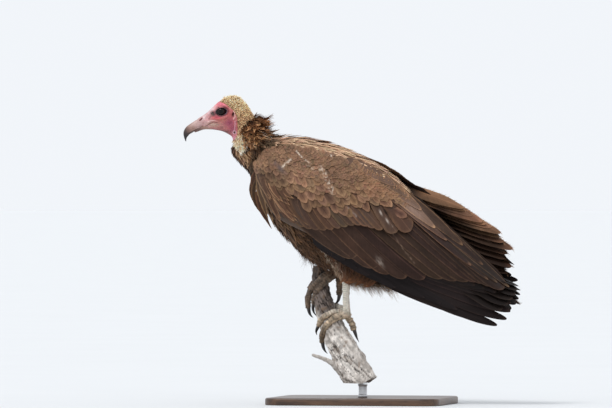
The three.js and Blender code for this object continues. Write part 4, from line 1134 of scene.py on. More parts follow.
# stubs of broken side shoots
for sk, ak, hk, wk in ((92, 2.2, 3.2, 5.5), (150, 4.4, 2.6, 4.5), (46, 5.3, 3.4, 7.0), (188, 1.2, 2.4, 4.0)):
    da = np.angle(np.exp(1j * (Ag - ak))) * r[:, None]
    dd = np.hypot(Sg - sk, da)
    rr = rr + hk * np.exp(-(dd / wk) ** 2) - hk * 0.9 * np.exp(-(dd / (wk * 0.42)) ** 2)
holes = np.zeros_like(rr)
hr = np.random.default_rng(88)
for _ in range(64):
    sk, ak, wk = length * hr.random(), TAU * hr.random(), 0.9 + 1.5 * hr.random() ** 2
    dd = np.hypot(Sg - sk, np.angle(np.exp(1j * (Ag - ak))) * r[:, None] * (1.2 + hr.random()))
    rr = rr - 2.4 * np.exp(-(dd / wk) ** 2) + 0.7 * np.exp(-((dd - 1.9 * wk) / wk) ** 2)
    holes = np.maximum(holes, np.exp(-(dd / (wk * 1.1)) ** 2))
rough = fbm(np.stack([np.cos(Ag) * r[:, None] * 0.22, np.sin(Ag) * r[:, None] * 0.22, Sg * 0.16], -1), 4, 91)
rr = rr * 0.985 + 1.15 * rough + 0.5 * grain
# ragged top
Pb = c[:, None] + rr[..., None] * (np.cos(Ag)[..., None] * a[:, None] + np.sin(Ag)[..., None] * b[:, None])
topf = smooth(Sg, length - 16, length)
Pb = Pb + (t[:, None] * (topf * (5.0 * vnoise(np.stack([np.cos(Ag) * 2.2, np.sin(Ag) * 2.2, 0 * Ag], -1), 79) - 3.4))[..., None])
Pb[..., 2] = np.maximum(Pb[..., 2], 36.4)
tone = 0.5 + 0.32 * grain + 0.2 * wide - 0.9 * crack + 0.16 * fbm(Pb * 0.2, 3, 81)
# painted shadow: the wood from about the left foot upward, under the feet and body, is painted much darker
dark = smooth(Pb[..., 2] + 14 * wide, 138, 178)
cb = mix(lin(166, 156, 147), lin(234, 226, 218), np.clip(tone + 0.1, 0, 1)[..., None])
cb = mix(cb, lin(120, 108, 98), (np.clip(fbm(Pb * 0.045, 3, 83) - 0.1, 0, 1) * 0.7)[..., None])
cb = mix(cb, mix(lin(50, 42, 40), lin(112, 98, 90), np.clip(tone, 0, 1)[..., None]), (dark * 0.95)[..., None])
# the colour follows the bumps of the surface: painted shade in the hollows, lighter on the raised wood
cb = cb * (1 + 0.42 * np.clip(rough, -1, 1))[..., None]
cb = mix(cb, lin(120, 96, 74), (0.55 * smooth(vnoise(Pb * 0.16, 93), 0.25, 0.7))[..., None])
# painted shade: the cracks and holes are painted near black, and the tone above is lowered in the cracks too
cb = mix(cb, lin(40, 34, 31), (np.clip(np.maximum(crack, holes), 0, 1) * 0.9)[..., None])
V1, Q1, T1 = closed_tube(Pb)
C1 = np.concatenate([cb.reshape(-1, 3), lin(150, 136, 120)[None], lin(90, 78, 68)[None]])
gt, ct, rt = tube_grid(pts3(TWIG), [v[2] for v in TWIG], 90, 40, cap=True)
nt_ = grid_normals(gt)
gt = gt + nt_ * (0.5 * fbm(gt * 0.22, 3, 85))[..., None]
V2, Q2, T2 = closed_tube(gt)
c2 = mix(lin(150, 140, 130), lin(214, 207, 200), np.clip(0.5 + 0.5 * fbm(gt * 0.3, 3, 87), 0, 1)[..., None])
C2 = np.concatenate([c2.reshape(-1, 3), c2[0].mean(0)[None], c2[-1].mean(0)[None]])
V = np.concatenate([V1, V2])
k = Nodes("weathered_wood")
ca = k.n("ShaderNodeAttribute", attribute_name="Col")
v = k.coords((1000, 1000, 1000))
mp = k.coords((900, 900, 160))
f1 = k.noise(mp, 0.55, 5, 0.65, 0.6)
f2 = k.noise(v, 0.9, 4, 0.6)
k.link(k.scalef(ca.outputs["Color"], k.map(k.math("MULTIPLY_ADD", f1, 0.65, k.math("MULTIPLY", f2, 0.35)), 0.3, 0.7, 0.7, 1.2)), k.b.inputs["Base Color"])
k.link(k.map(f1, 0.3, 0.7, 0.78, 0.95), k.b.inputs["Roughness"])
k.set(Specular_IOR_Level=0.25)
k.bump(k.math("MULTIPLY_ADD", f2, 0.4, f1), 0.6, 0.0009)
put(make_mesh("branch", V, np.concatenate([Q1, Q2 + len(V1)]), np.concatenate([T1, T2 + len(V1)]), [k.m],
              attrs={"Col": ("FLOAT_COLOR", rgba(np.concatenate([C1, C2])))}), "branch_wood", ("perch_branch",))

# ------------------------------------------------------------------ display stand
def rounded_slab(l, w, h, corner, bevel, nc=14, nb=6):
    """a slab with round corners and a soft top and bottom edge, as rings from the underside's middle to the top's"""
    ang = np.concatenate([np.linspace(i * math.pi / 2, (i + 1) * math.pi / 2, nc) for i in range(4)])
    cx = np.repeat([1, -1, -1, 1], nc) * (l / 2 - corner)
    cy = np.repeat([1, 1, -1, -1], nc) * (w / 2 - corner)
    rings = []
    for e in (0.0, 0.35, 0.7, 0.93):
        rings.append((e, 0.0, 0))
    prof = [(1 - 0.0, 0)]
    out = []
    def ring(inset, z):
        rr = corner - inset
        return np.stack([cx + rr * np.cos(ang), cy + rr * np.sin(ang), np.full(len(ang), z)], -1)
    b0 = 1.2
    for f in (0.02, 0.5, 0.97):
        p = ring(b0, 0.0)
        p[:, :2] *= f
        out.append(p)
    for t_ in np.linspace(0, math.pi / 2, 4):
        out.append(ring(b0 * (1 - math.sin(t_)), b0 * (1 - math.cos(t_))))
    for t_ in np.linspace(0, math.pi / 2, nb + 1):
        out.append(ring(bevel * (1 - math.cos(t_)), h - bevel + bevel * math.sin(t_)))
    for f in (0.97, 0.75, 0.5, 0.25, 0.02):
        p = ring(bevel, h)
        p[:, :2] *= f
        out.append(p)
    return np.array(out)


V, Q, T = closed_tube(rounded_slab(300, 224, 12, 30, 3.2))
k = Nodes("stained_oak")
v = k.coords((1000, 1000, 1000))
mp = k.coords((60, 1100, 400))
w0 = k.noise(k.coords((3.2, 14, 14)), 1.0, 3, 0.5, 0.8)
gr1 = k.noise(mp, 0.11, 5, 0.62, 0.9)
gr2 = k.noise(k.coords((150, 2600, 900)), 0.5, 3, 0.6)
tone_ = k.math("MULTIPLY_ADD", gr1, 0.62, k.math("MULTIPLY_ADD", gr2, 0.22, k.math("MULTIPLY", w0, 0.25)))
k.link(k.ramp(tone_, [(0.36, tuple(lin(40, 27, 20))), (0.5, tuple(lin(72, 50, 36))), (0.62, tuple(lin(98, 70, 50))), (0.75, tuple(lin(60, 41, 30)))]), k.b.inputs["Base Color"])
k.link(k.map(gr1, 0.3, 0.7, 0.34, 0.5), k.b.inputs["Roughness"])
k.set(Specular_IOR_Level=0.4, Coat_Weight=0.25, Coat_Roughness=0.22)
k.bump(k.math("MULTIPLY_ADD", gr2, 0.5, gr1), 0.18, 0.0004)
put(make_mesh("stand_base_board", V, Q, T, [k.m]), "stand_wood", ("stand_base",))
foot = side(*el(*BRANCH[0][0]), BRANCH[0][1])
prof = [(0.02, 12.1), (7.9, 12.1), (8.0, 12.3), (8.0, 35.0), (7.7, 35.5), (0.02, 35.5)]
prof = [(0.05, 12.25), (7.6, 12.25), (7.95, 12.6), (7.95, 17.0), (7.1, 17.5), (7.0, 18.0), (7.0, 31.0), (7.1, 31.5), (7.95, 32.0), (7.95, 35.2), (7.6, 35.5), (0.05, 35.5)]
an = np.linspace(0, TAU, 72, endpoint=False)
g = np.array([[[foot[0] + r_ * math.cos(a_), foot[1] + r_ * math.sin(a_), z_] for a_ in an] for r_, z_ in prof])
V, Q, T = closed_tube(g)
k = Nodes("brushed_steel")
mp = k.coords((120, 120, 9000))
br = k.noise(mp, 0.3, 4, 0.7)
k.link(k.ramp(br, [(0.3, (0.42, 0.42, 0.43)), (0.7, (0.62, 0.62, 0.63))]), k.b.inputs["Base Color"])
k.link(k.map(br, 0.3, 0.7, 0.24, 0.42), k.b.inputs["Roughness"])
k.set(Metallic=1.0)
k.bump(br, 0.12, 0.0002)
rod = make_mesh("stand_rod_post", V, Q, T, [k.m])
put(rod, "stand_steel", ("stand_rod",))


# ------------------------------------------------------------------ plumage, built feather by feather
class Coat:
    """Many feathers or tufts, joined in meshes of under 200,000 triangles."""

    def __init__(s, name, slot, mat, replaces=(), patch=0.003):
        s.name, s.slot, s.mat, s.replaces, s.patch = name, slot, mat, replaces, patch
        s.parts = []

    def add(s, V, col, alpha, fa, uv):
        N, R, C, _ = V.shape
        alpha = np.broadcast_to(alpha, (N, R, C))
        s.parts.append((V, np.clip(col, 0, 1), alpha, fa, uv))

    def tris(s):
        return sum(p[0].shape[0] * (p[0].shape[1] - 1) * (p[0].shape[2] - 1) * 2 for p in s.parts)

    def build(s):
        out, cur, load = [], [], 0
        for V, col, al, fa, uv in s.parts:
            N, R, C, _ = V.shape
            q = (R - 1) * (C - 1)
            at = 0
            while at < N:
                take = min(N - at, max(1, (98000 - load) // q))
                cur.append([z[at:at + take] for z in (V, col, al, fa, uv)])
                load += take * q
                at += take
                if load + q > 98000:
                    out.append(cur)
                    cur, load = [], 0
        if cur:
            out.append(cur)
        for i, group in enumerate(out):
            Vs, Cs, Fs, Us, Qs, off = [], [], [], [], [], 0
            for V, col, al, fa, uv in group:
                N, R, C, _ = V.shape
                idx = np.arange(N * R * C).reshape(N, R, C) + off
                q = np.stack([idx[:, :-1, :-1], idx[:, :-1, 1:], idx[:, 1:, 1:], idx[:, 1:, :-1]], -1).reshape(-1, 4)
                Vs.append(V.reshape(-1, 3)), Qs.append(q), Fs.append(fa.reshape(-1, 3)), Us.append(uv.reshape(-1, 2))
                Cs.append(np.concatenate([col.reshape(-1, 3), al.reshape(-1, 1)], 1))
                off += N * R * C
            nm = s.name if len(out) == 1 else s.name + "_" + "abcdefgh"[i]
            ob = make_mesh(nm, np.concatenate(Vs), np.concatenate(Qs), None, [s.mat],
                           attrs={"Col": ("FLOAT_COLOR", np.concatenate(Cs)), "Fa": ("FLOAT_VECTOR", np.concatenate(Fs))},
                           uv=np.concatenate(Us))
            put(ob, s.slot, s.replaces if i == 0 else ())
            print(nm, len(ob.data.polygons) * 2, "tris")


def sh_contour(s):
    up = np.sin(np.clip(s / 0.6, 0, 1) * math.pi / 2) ** 0.7 * 0.75 + 0.25 * smooth(s, 0, 0.15)
    return up * np.sqrt(np.clip(1 - np.clip((s - 0.62) / 0.385, 0, 1) ** 2.2, 0.0004, 1))


def sh_lance(s):
    up = 0.45 + 0.55 * smooth(s, 0, 0.35)
    return up * np.clip(1 - np.clip((s - 0.30) / 0.705, 0, 1) ** 1.7, 0.004, 1) ** 0.9


def sh_flight(s):
    up = 0.5 + 0.5 * smooth(s, 0, 0.14)
    return up * np.sqrt(np.clip(1 - np.clip((s - 0.84) / 0.163, 0, 1) ** 2.0, 0.0006, 1))


def sh_tert(s):
    up = 0.5 + 0.5 * smooth(s, 0, 0.14)
    return up * (1 - 0.30 * smooth(s, 0.55, 0.9)) * np.sqrt(np.clip(1 - np.clip((s - 0.72) / 0.283, 0, 1) ** 1.7, 0.0006, 1))


def sh_primary(s):
    up = 0.5 + 0.5 * smooth(s, 0, 0.14)
    return up * (1 - 0.25 * smooth(s, 0.35, 0.75)) * np.sqrt(np.clip(1 - np.clip((s - 0.74) / 0.263, 0, 1) ** 1.8, 0.0006, 1))


def vane_colour(N, R, C, s, x, centre, edge, rng, tipw=0.10, edgew=0.3, root_dark=0.45, var=0.10, hue=0.03, worn=0.0):
    """centre tone with a lighter margin and painted shade at the hidden root; every feather a little different"""
    centre = np.broadcast_to(np.asarray(centre, float), (N, 3))[:, None, None]
    edge = np.broadcast_to(np.asarray(edge, float), (N, 3))[:, None, None]
    ax = np.abs(x)[None, None, :]
    ss = s[None, :, None]
    m = np.maximum(smooth(ax, 1 - edgew * 1.6, 1.0), smooth(ss, 1 - tipw * 1.7, 1.0))
    m = m * (0.75 + 0.5 * rng.random((N, 1, 1)))
    c = mix(centre, edge, np.clip(m, 0, 1)[..., None])
    tone = 1 + var * rng.normal(size=(N, 1, 1, 1)) + hue * rng.normal(size=(N, 1, 1, 3))
    c = c * np.clip(tone, 0.6, 1.5)
    # painted shade: darker towards the root, where the feathers above hide it
    c = c * (1 - root_dark * (1 - smooth(ss, 0.02, 0.42)))[..., None]
    c = c * (1 + 0.10 * rng.normal(size=(N, R, C)) * smooth(ax, 0.3, 1))[..., None]
    return c


def fa_of(N, R, C, s, x, L, hw, rng):
    fa = np.zeros((N, R, C, 3))
    fa[..., 0] = x[None, None]
    fa[..., 1] = s[None, :, None] * L[:, None, None] - np.abs(x)[None, None] * hw[..., None] * 1.1 * np.sign(1)
    fa[..., 2] = rng.random((N, 1, 1))
    return fa


def uv_of(u0, v0, N, R, C, s, x, patch):
    uv = np.zeros((N, R, C, 2))
    uv[..., 0] = u0[:, None, None] + x[None, None] * patch * 0.5
    uv[..., 1] = v0[:, None, None] + (s[None, :, None] - 0.5) * patch
    return np.clip(uv, 0.0005, 0.9995)


def norm01(v):
    lo, hi = float(np.min(v)), float(np.max(v))
    return 0.004 + 0.992 * (np.asarray(v) - lo) / max(hi - lo, 1e-6)


def lay(surf, a, b, dirf, L, W, R, C, shape, rng, lift0=-5.0, lift1=0.0, pw=1.0, camber=0.6, tilt=0.0, curl=0.0, stand=0.0,
        head=0.12, bend=0.0, fray=0.5, jit=0.35, roll=0.0, rows=1.3):
    """feathers rooted at (a, b) of a surface, walked along dirf; every vertex keeps its height over the surface"""
    N = len(a)
    L, W = np.broadcast_to(L, (N,)).astype(float), np.broadcast_to(W, (N,)).astype(float)
    s = 1 - (1 - np.linspace(0, 1, R)) ** rows
    x = np.linspace(-1, 1, C)
    phi = rng.normal(size=N) * head
    bnd = bend * rng.normal(size=N)
    pa, pb = np.array(a, float), np.array(b, float)
    PA, PB, DD, AA = [], [], [], []
    for r in range(R):
        P, Nn = surf.at(pa, pb)
        D = dirf(P, Nn, pa, pb)
        D = unit(D - Nn * np.sum(D * Nn, -1, keepdims=True))
        an = (phi + bnd * s[r])[:, None]
        D = D * np.cos(an) + np.cross(Nn, D) * np.sin(an)
        PA.append(pa), PB.append(pb), DD.append(D), AA.append(np.cross(Nn, D))
        if r < R - 1:
            da, db = surf.step(pa, pb, D * ((s[r + 1] - s[r]) * L)[:, None])
            pa, pb = pa + da, pb + db
    PA, PB, DD, AA = np.stack(PA, 1), np.stack(PB, 1), np.stack(DD, 1), np.stack(AA, 1)
    hw = W[:, None] / 2 * shape(s)[None]
    ragged = 1 + 0.06 * fray * rng.normal(size=(N, R, C)) * (np.abs(x) > 0.6)
    off = AA[:, :, None] * (x[None, None] * hw[..., None] * ragged)[..., None]
    off = off - DD[:, :, None] * ((np.abs(x) ** 1.5)[None, None] * (0.35 * fray * hw[..., None]) * (0.6 + 0.8 * rng.random((N, R, C))))[..., None]
    da, db = surf.step(PA[..., None] + np.zeros(C), PB[..., None] + np.zeros(C), off)
    P, Nn = surf.at(PA[..., None] + da, PB[..., None] + db)
    st = np.broadcast_to(stand, (N,))[:, None, None]
    z = lift0 + (lift1 - lift0) * s ** pw
    z = z[None, :, None] + jit * rng.normal(size=(N, 1, 1)) * smooth(s, 0, 0.4)[None, :, None]
    z = z - camber * (x ** 2)[None, None] * shape(s)[None, :, None] + (tilt + roll * rng.normal(size=(N, 1, 1))) * x[None, None] * shape(s)[None, :, None]
    z = z + curl * (s ** 3)[None, :, None] + st * L[:, None, None] * (s ** 1.25)[None, :, None]
    V = P + Nn * z[..., None]
    return V, s, x, L, hw


def scatter(surf, a0, a1, da_mm, db_mm, rng, keep=None, jitter=0.28):
    """staggered rows of roots over part of a surface, da_mm apart along and db_mm apart across"""
    fine = np.linspace(a0, a1, 200)
    j = np.linspace(0, surf.nb - 1, 40).astype(int)
    P = np.stack([surf._at(fine, np.full(200, surf.b0 + surf.db * k), (surf.P,))[0] for k in j], 1)
    seg = np.linalg.norm(np.diff(P, axis=0), axis=2)
    s = np.concatenate([[0], np.cumsum(np.percentile(seg, 70, axis=1))])
    n = max(int(s[-1] / da_mm), 1)
    av = np.interp((np.arange(n) + 0.5) / n * s[-1], s, fine)
    A, B = [], []
    for i, a in enumerate(av):
        bb = surf.b0 + surf.db * np.arange(surf.nb + (1 if surf.wrap else 0))
        P, = surf._at(np.full(len(bb), a), bb, (surf.P,))
        sb = np.concatenate([[0], np.cumsum(np.linalg.norm(np.diff(P, axis=0), axis=1))])
        m = max(int(sb[-1] / db_mm), 3)
        t = (np.arange(m) + 0.5 * (i % 2) + rng.normal(size=m) * jitter) / m * sb[-1]
        b = np.interp(np.mod(t, sb[-1]) if surf.wrap else np.clip(t, 0, sb[-1]), sb, bb)
        A.append(a + rng.normal(size=m) * jitter * (av[1] - av[0] if n > 1 else 0.1)), B.append(b)
    A, B = np.concatenate(A), np.concatenate(B)
    A = np.clip(A, a0, a1)
    if keep is not None:
        k = keep(A, B)
        A, B = A[k], B[k]
    return A, B


def tailward(surf):
    def f(P, Nn, a, b):
        ta, = surf._at(a, b, (surf.Ta,))
        return ta
    return f


def blades(P, Nn, D, L, W, rng, R=4, curl=0.5, stand=0.5, spread=0.5, clump=None):
    """thin locks of down: flat tapering strips that leave a root, bend and curl"""
    N = len(P)
    L, W = np.broadcast_to(L, (N,)).astype(float), np.broadcast_to(W, (N,)).astype(float)
    s = np.linspace(0, 1, R)
    T = np.cross(Nn, D)
    an = rng.normal(size=(N, 1)) * spread
    D2 = D * np.cos(an) + T * np.sin(an)
    st = np.clip(np.broadcast_to(stand, (N,)) + 0.18 * rng.normal(size=N), 0.02, 1.4)[:, None]
    D3 = unit(D2 * np.cos(st) + Nn * np.sin(st))
    S = unit(np.cross(D3, rng.normal(size=(N, 3))))
    S2 = np.cross(D3, S)
    c1, c2 = curl * rng.normal(size=(N, 1)), curl * rng.normal(size=(N, 1))
    pts = []
    for k in s:
        bend = (c1 * S + c2 * S2) * k ** 2 * L[:, None] * 0.8 - Nn * (0.35 * st) * k ** 2 * L[:, None]
        pts.append(P + D3 * (k * L)[:, None] + bend)
    pts = np.stack(pts, 1)
    w = W[:, None] / 2 * (1 - 0.86 * s[None] ** 1.5)
    side_ = np.repeat(S[:, None], R, 1)
    return np.stack([pts - side_ * w[..., None], pts + side_ * w[..., None]], 2), s


def add_blades(coat, P, Nn, D, L, W, rng, c0, c1, u0, v0, R=4, curl=0.5, stand=0.5, spread=0.5, var=0.12, dark=0.45):
    V, s = blades(P, Nn, D, L, W, rng, R, curl, stand, spread)
    N = len(P)
    c0 = np.broadcast_to(c0, (N, 3))[:, None, None]
    c1 = np.broadcast_to(c1, (N, 3))[:, None, None]
    col = mix(c0, c1, (s ** 0.8)[None, :, None, None]) * (1 + var * rng.normal(size=(N, 1, 1, 1)))
    # painted shade: each strand is darker towards its root, deep in the pile
    col = col * (1 - dark * (1 - smooth(s, 0, 0.5)))[None, :, None, None]
    col = np.broadcast_to(col, (*V.shape[:3], 3)).copy()
    fa = np.zeros(V.shape)
    fa[..., 1] = s[None, :, None] * 5
    fa[..., 2] = rng.random((N, 1, 1))
    x = np.array([-1.0, 1.0])
    coat.add(V, col, 0.5, fa, uv_of(u0, v0, N, R, 2, s, x, coat.patch))


# ------------------------------------------------------------------ the wing's outer face over the elevation
WT = flat(WING)


def wing_face(t, k):
    r = along(WT, t)
    au, ah, bu, bh, yu, ym, yl, tk = (r[..., i] for i in range(8))
    y = yl * (1 - k) * (1 - 2 * k) + ym * 4 * k * (1 - k) + yu * k * (2 * k - 1)
    y = y - tk / 2 * np.clip(1 - (2 * k - 1) ** 2, 0, 1) ** 0.4
    return bu + (au - bu) * k, bh + (ah - bh) * k, -y


tt, kk = np.meshgrid(np.linspace(0, 10, 240), np.linspace(0, 1, 70), indexing="ij")
fu, fh, fy = (v.ravel() for v in wing_face(tt, kk))
GU, GH = np.arange(-190, 290, 4.0), np.arange(110, 460, 4.0)
gu, gh = np.meshgrid(GU, GH, indexing="ij")
RAST = np.zeros(gu.shape)
for i in range(len(GU)):
    m = np.abs(fu - GU[i]) < 60
    if not m.any():
        m = np.ones(len(fu), bool)
    d = (fu[m][None] - GU[i]) ** 2 + (fh[m][None] - GH[:, None]) ** 2
    RAST[i] = fy[m][d.argmin(1)]
for _ in range(3):
    Z = np.pad(RAST, 1, mode="edge")
    RAST = (Z[1:-1, 1:-1] * 2 + Z[:-2, 1:-1] + Z[2:, 1:-1] + Z[1:-1, :-2] + Z[1:-1, 2:]) / 6


def wing_out(u, h):
    x = np.clip((u - GU[0]) / 4, 0, len(GU) - 1.001)
    y = np.clip((h - GH[0]) / 4, 0, len(GH) - 1.001)
    i, j = x.astype(int), y.astype(int)
    fx, fy_ = x - i, y - j
    return mix(mix(RAST[i, j], RAST[i + 1, j], fx), mix(RAST[i, j + 1], RAST[i + 1, j + 1], fx), fy_)


def wing_lay(sgn, root, tip, W, R, C, shape, rng, bow=0.0, lift0=0.0, lift1=0.0, tilt=0.0, camber=0.5, curl=0.0, fray=0.3, jit=0.2, rows=1.3, sink=0.0):
    """feathers given by root and tip in grid units on the folded wing; x=+1 is the lower, outer web"""
    root, tip = np.asarray(root, float), np.asarray(tip, float)
    N = len(root)
    ru, rh = el(root[:, 0], root[:, 1])
    tu, tv = el(tip[:, 0], tip[:, 1])
    r2, t2 = np.stack([ru, rh], -1), np.stack([tu, tv], -1)
    d = t2 - r2
    L = np.linalg.norm(d, axis=1)
    d = d / L[:, None]
    lowside = np.stack([d[:, 1], -d[:, 0]], -1)
    s = 1 - (1 - np.linspace(0, 1, R)) ** rows
    x = np.linspace(-1, 1, C)
    bow = np.broadcast_to(bow, (N,))
    W = np.broadcast_to(W, (N,)).astype(float)
    sp_ = r2[:, None] + d[:, None] * (s * L[:, None])[..., None] + lowside[:, None] * (bow[:, None] * 4 * s * (1 - s))[..., None]
    tg = unit(np.gradient(sp_, axis=1))
    low = np.stack([tg[..., 1], -tg[..., 0]], -1)
    hw = W[:, None] / 2 * shape(s)[None]
    ragged = 1 + 0.05 * fray * rng.normal(size=(N, R, C)) * (np.abs(x) > 0.6)
    q = sp_[:, :, None] + low[:, :, None] * (x[None, None] * hw[..., None] * ragged)[..., None]
    q = q - tg[:, :, None] * ((np.abs(x) ** 1.5)[None, None] * (0.30 * fray * hw[..., None]) * (0.6 + 0.8 * rng.random((N, R, C))))[..., None]
    lift0, lift1 = np.broadcast_to(lift0, (N,)), np.broadcast_to(lift1, (N,))
    z = lift0[:, None, None] + (lift1 - lift0)[:, None, None] * s[None, :, None]
    z = z + jit * rng.normal(size=(N, 1, 1))
    z = z + np.broadcast_to(tilt, (N,))[:, None, None] * x[None, None] - camber * (x ** 2)[None, None]
    z = z + curl * (s ** 4)[None, :, None]
    y = -(wing_out(q[..., 0], q[..., 1]) + z - sink)
    V = side(q[..., 0], q[..., 1], y)
    if sgn > 0:
        V = raised(V)
    return V, s, x, L, hw, q


def wing_uv(q, N, R, C, s, x, patch):
    u0 = norm01(np.clip(q[:, 0, C // 2, 0], -200, 300)) if N > 1 else np.array([0.5])
    v0 = norm01(q[:, 0, C // 2, 1]) if N > 1 else np.array([0.5])
    return uv_of(u0, v0, N, R, C, s, x, patch)


def big_islands(N, R, C, s, x, row, rows_total):
    """large feathers get islands of their own, side by side"""
    uv = np.zeros((N, R, C, 2))
    w = 1.0 / max(N, 1)
    uv[..., 0] = (np.arange(N)[:, None, None] + 0.5 + x[None, None] * 0.46) * w
    uv[..., 1] = (row + 0.02 + 0.96 * s[None, :, None]) / rows_total
    return np.clip(uv, 0.0005, 0.9995)


COVERT_C, COVERT_E = lin(100, 72, 54), lin(150, 116, 88)
LESSER_C, LESSER_E = lin(118, 88, 67), lin(134, 102, 79)
GREAT_C, GREAT_E = lin(76, 55, 44), lin(100, 74, 56)
SEC_C, SEC_E = lin(64, 45, 37), lin(98, 72, 56)
PRIM_C, PRIM_E = lin(30, 22, 21), lin(46, 34, 30)


def wing_angle(px, py):
    """the way coverts point, in degrees below the tailward horizontal"""
    return np.clip(80 - 0.29 * (px - 262), 34, 82)


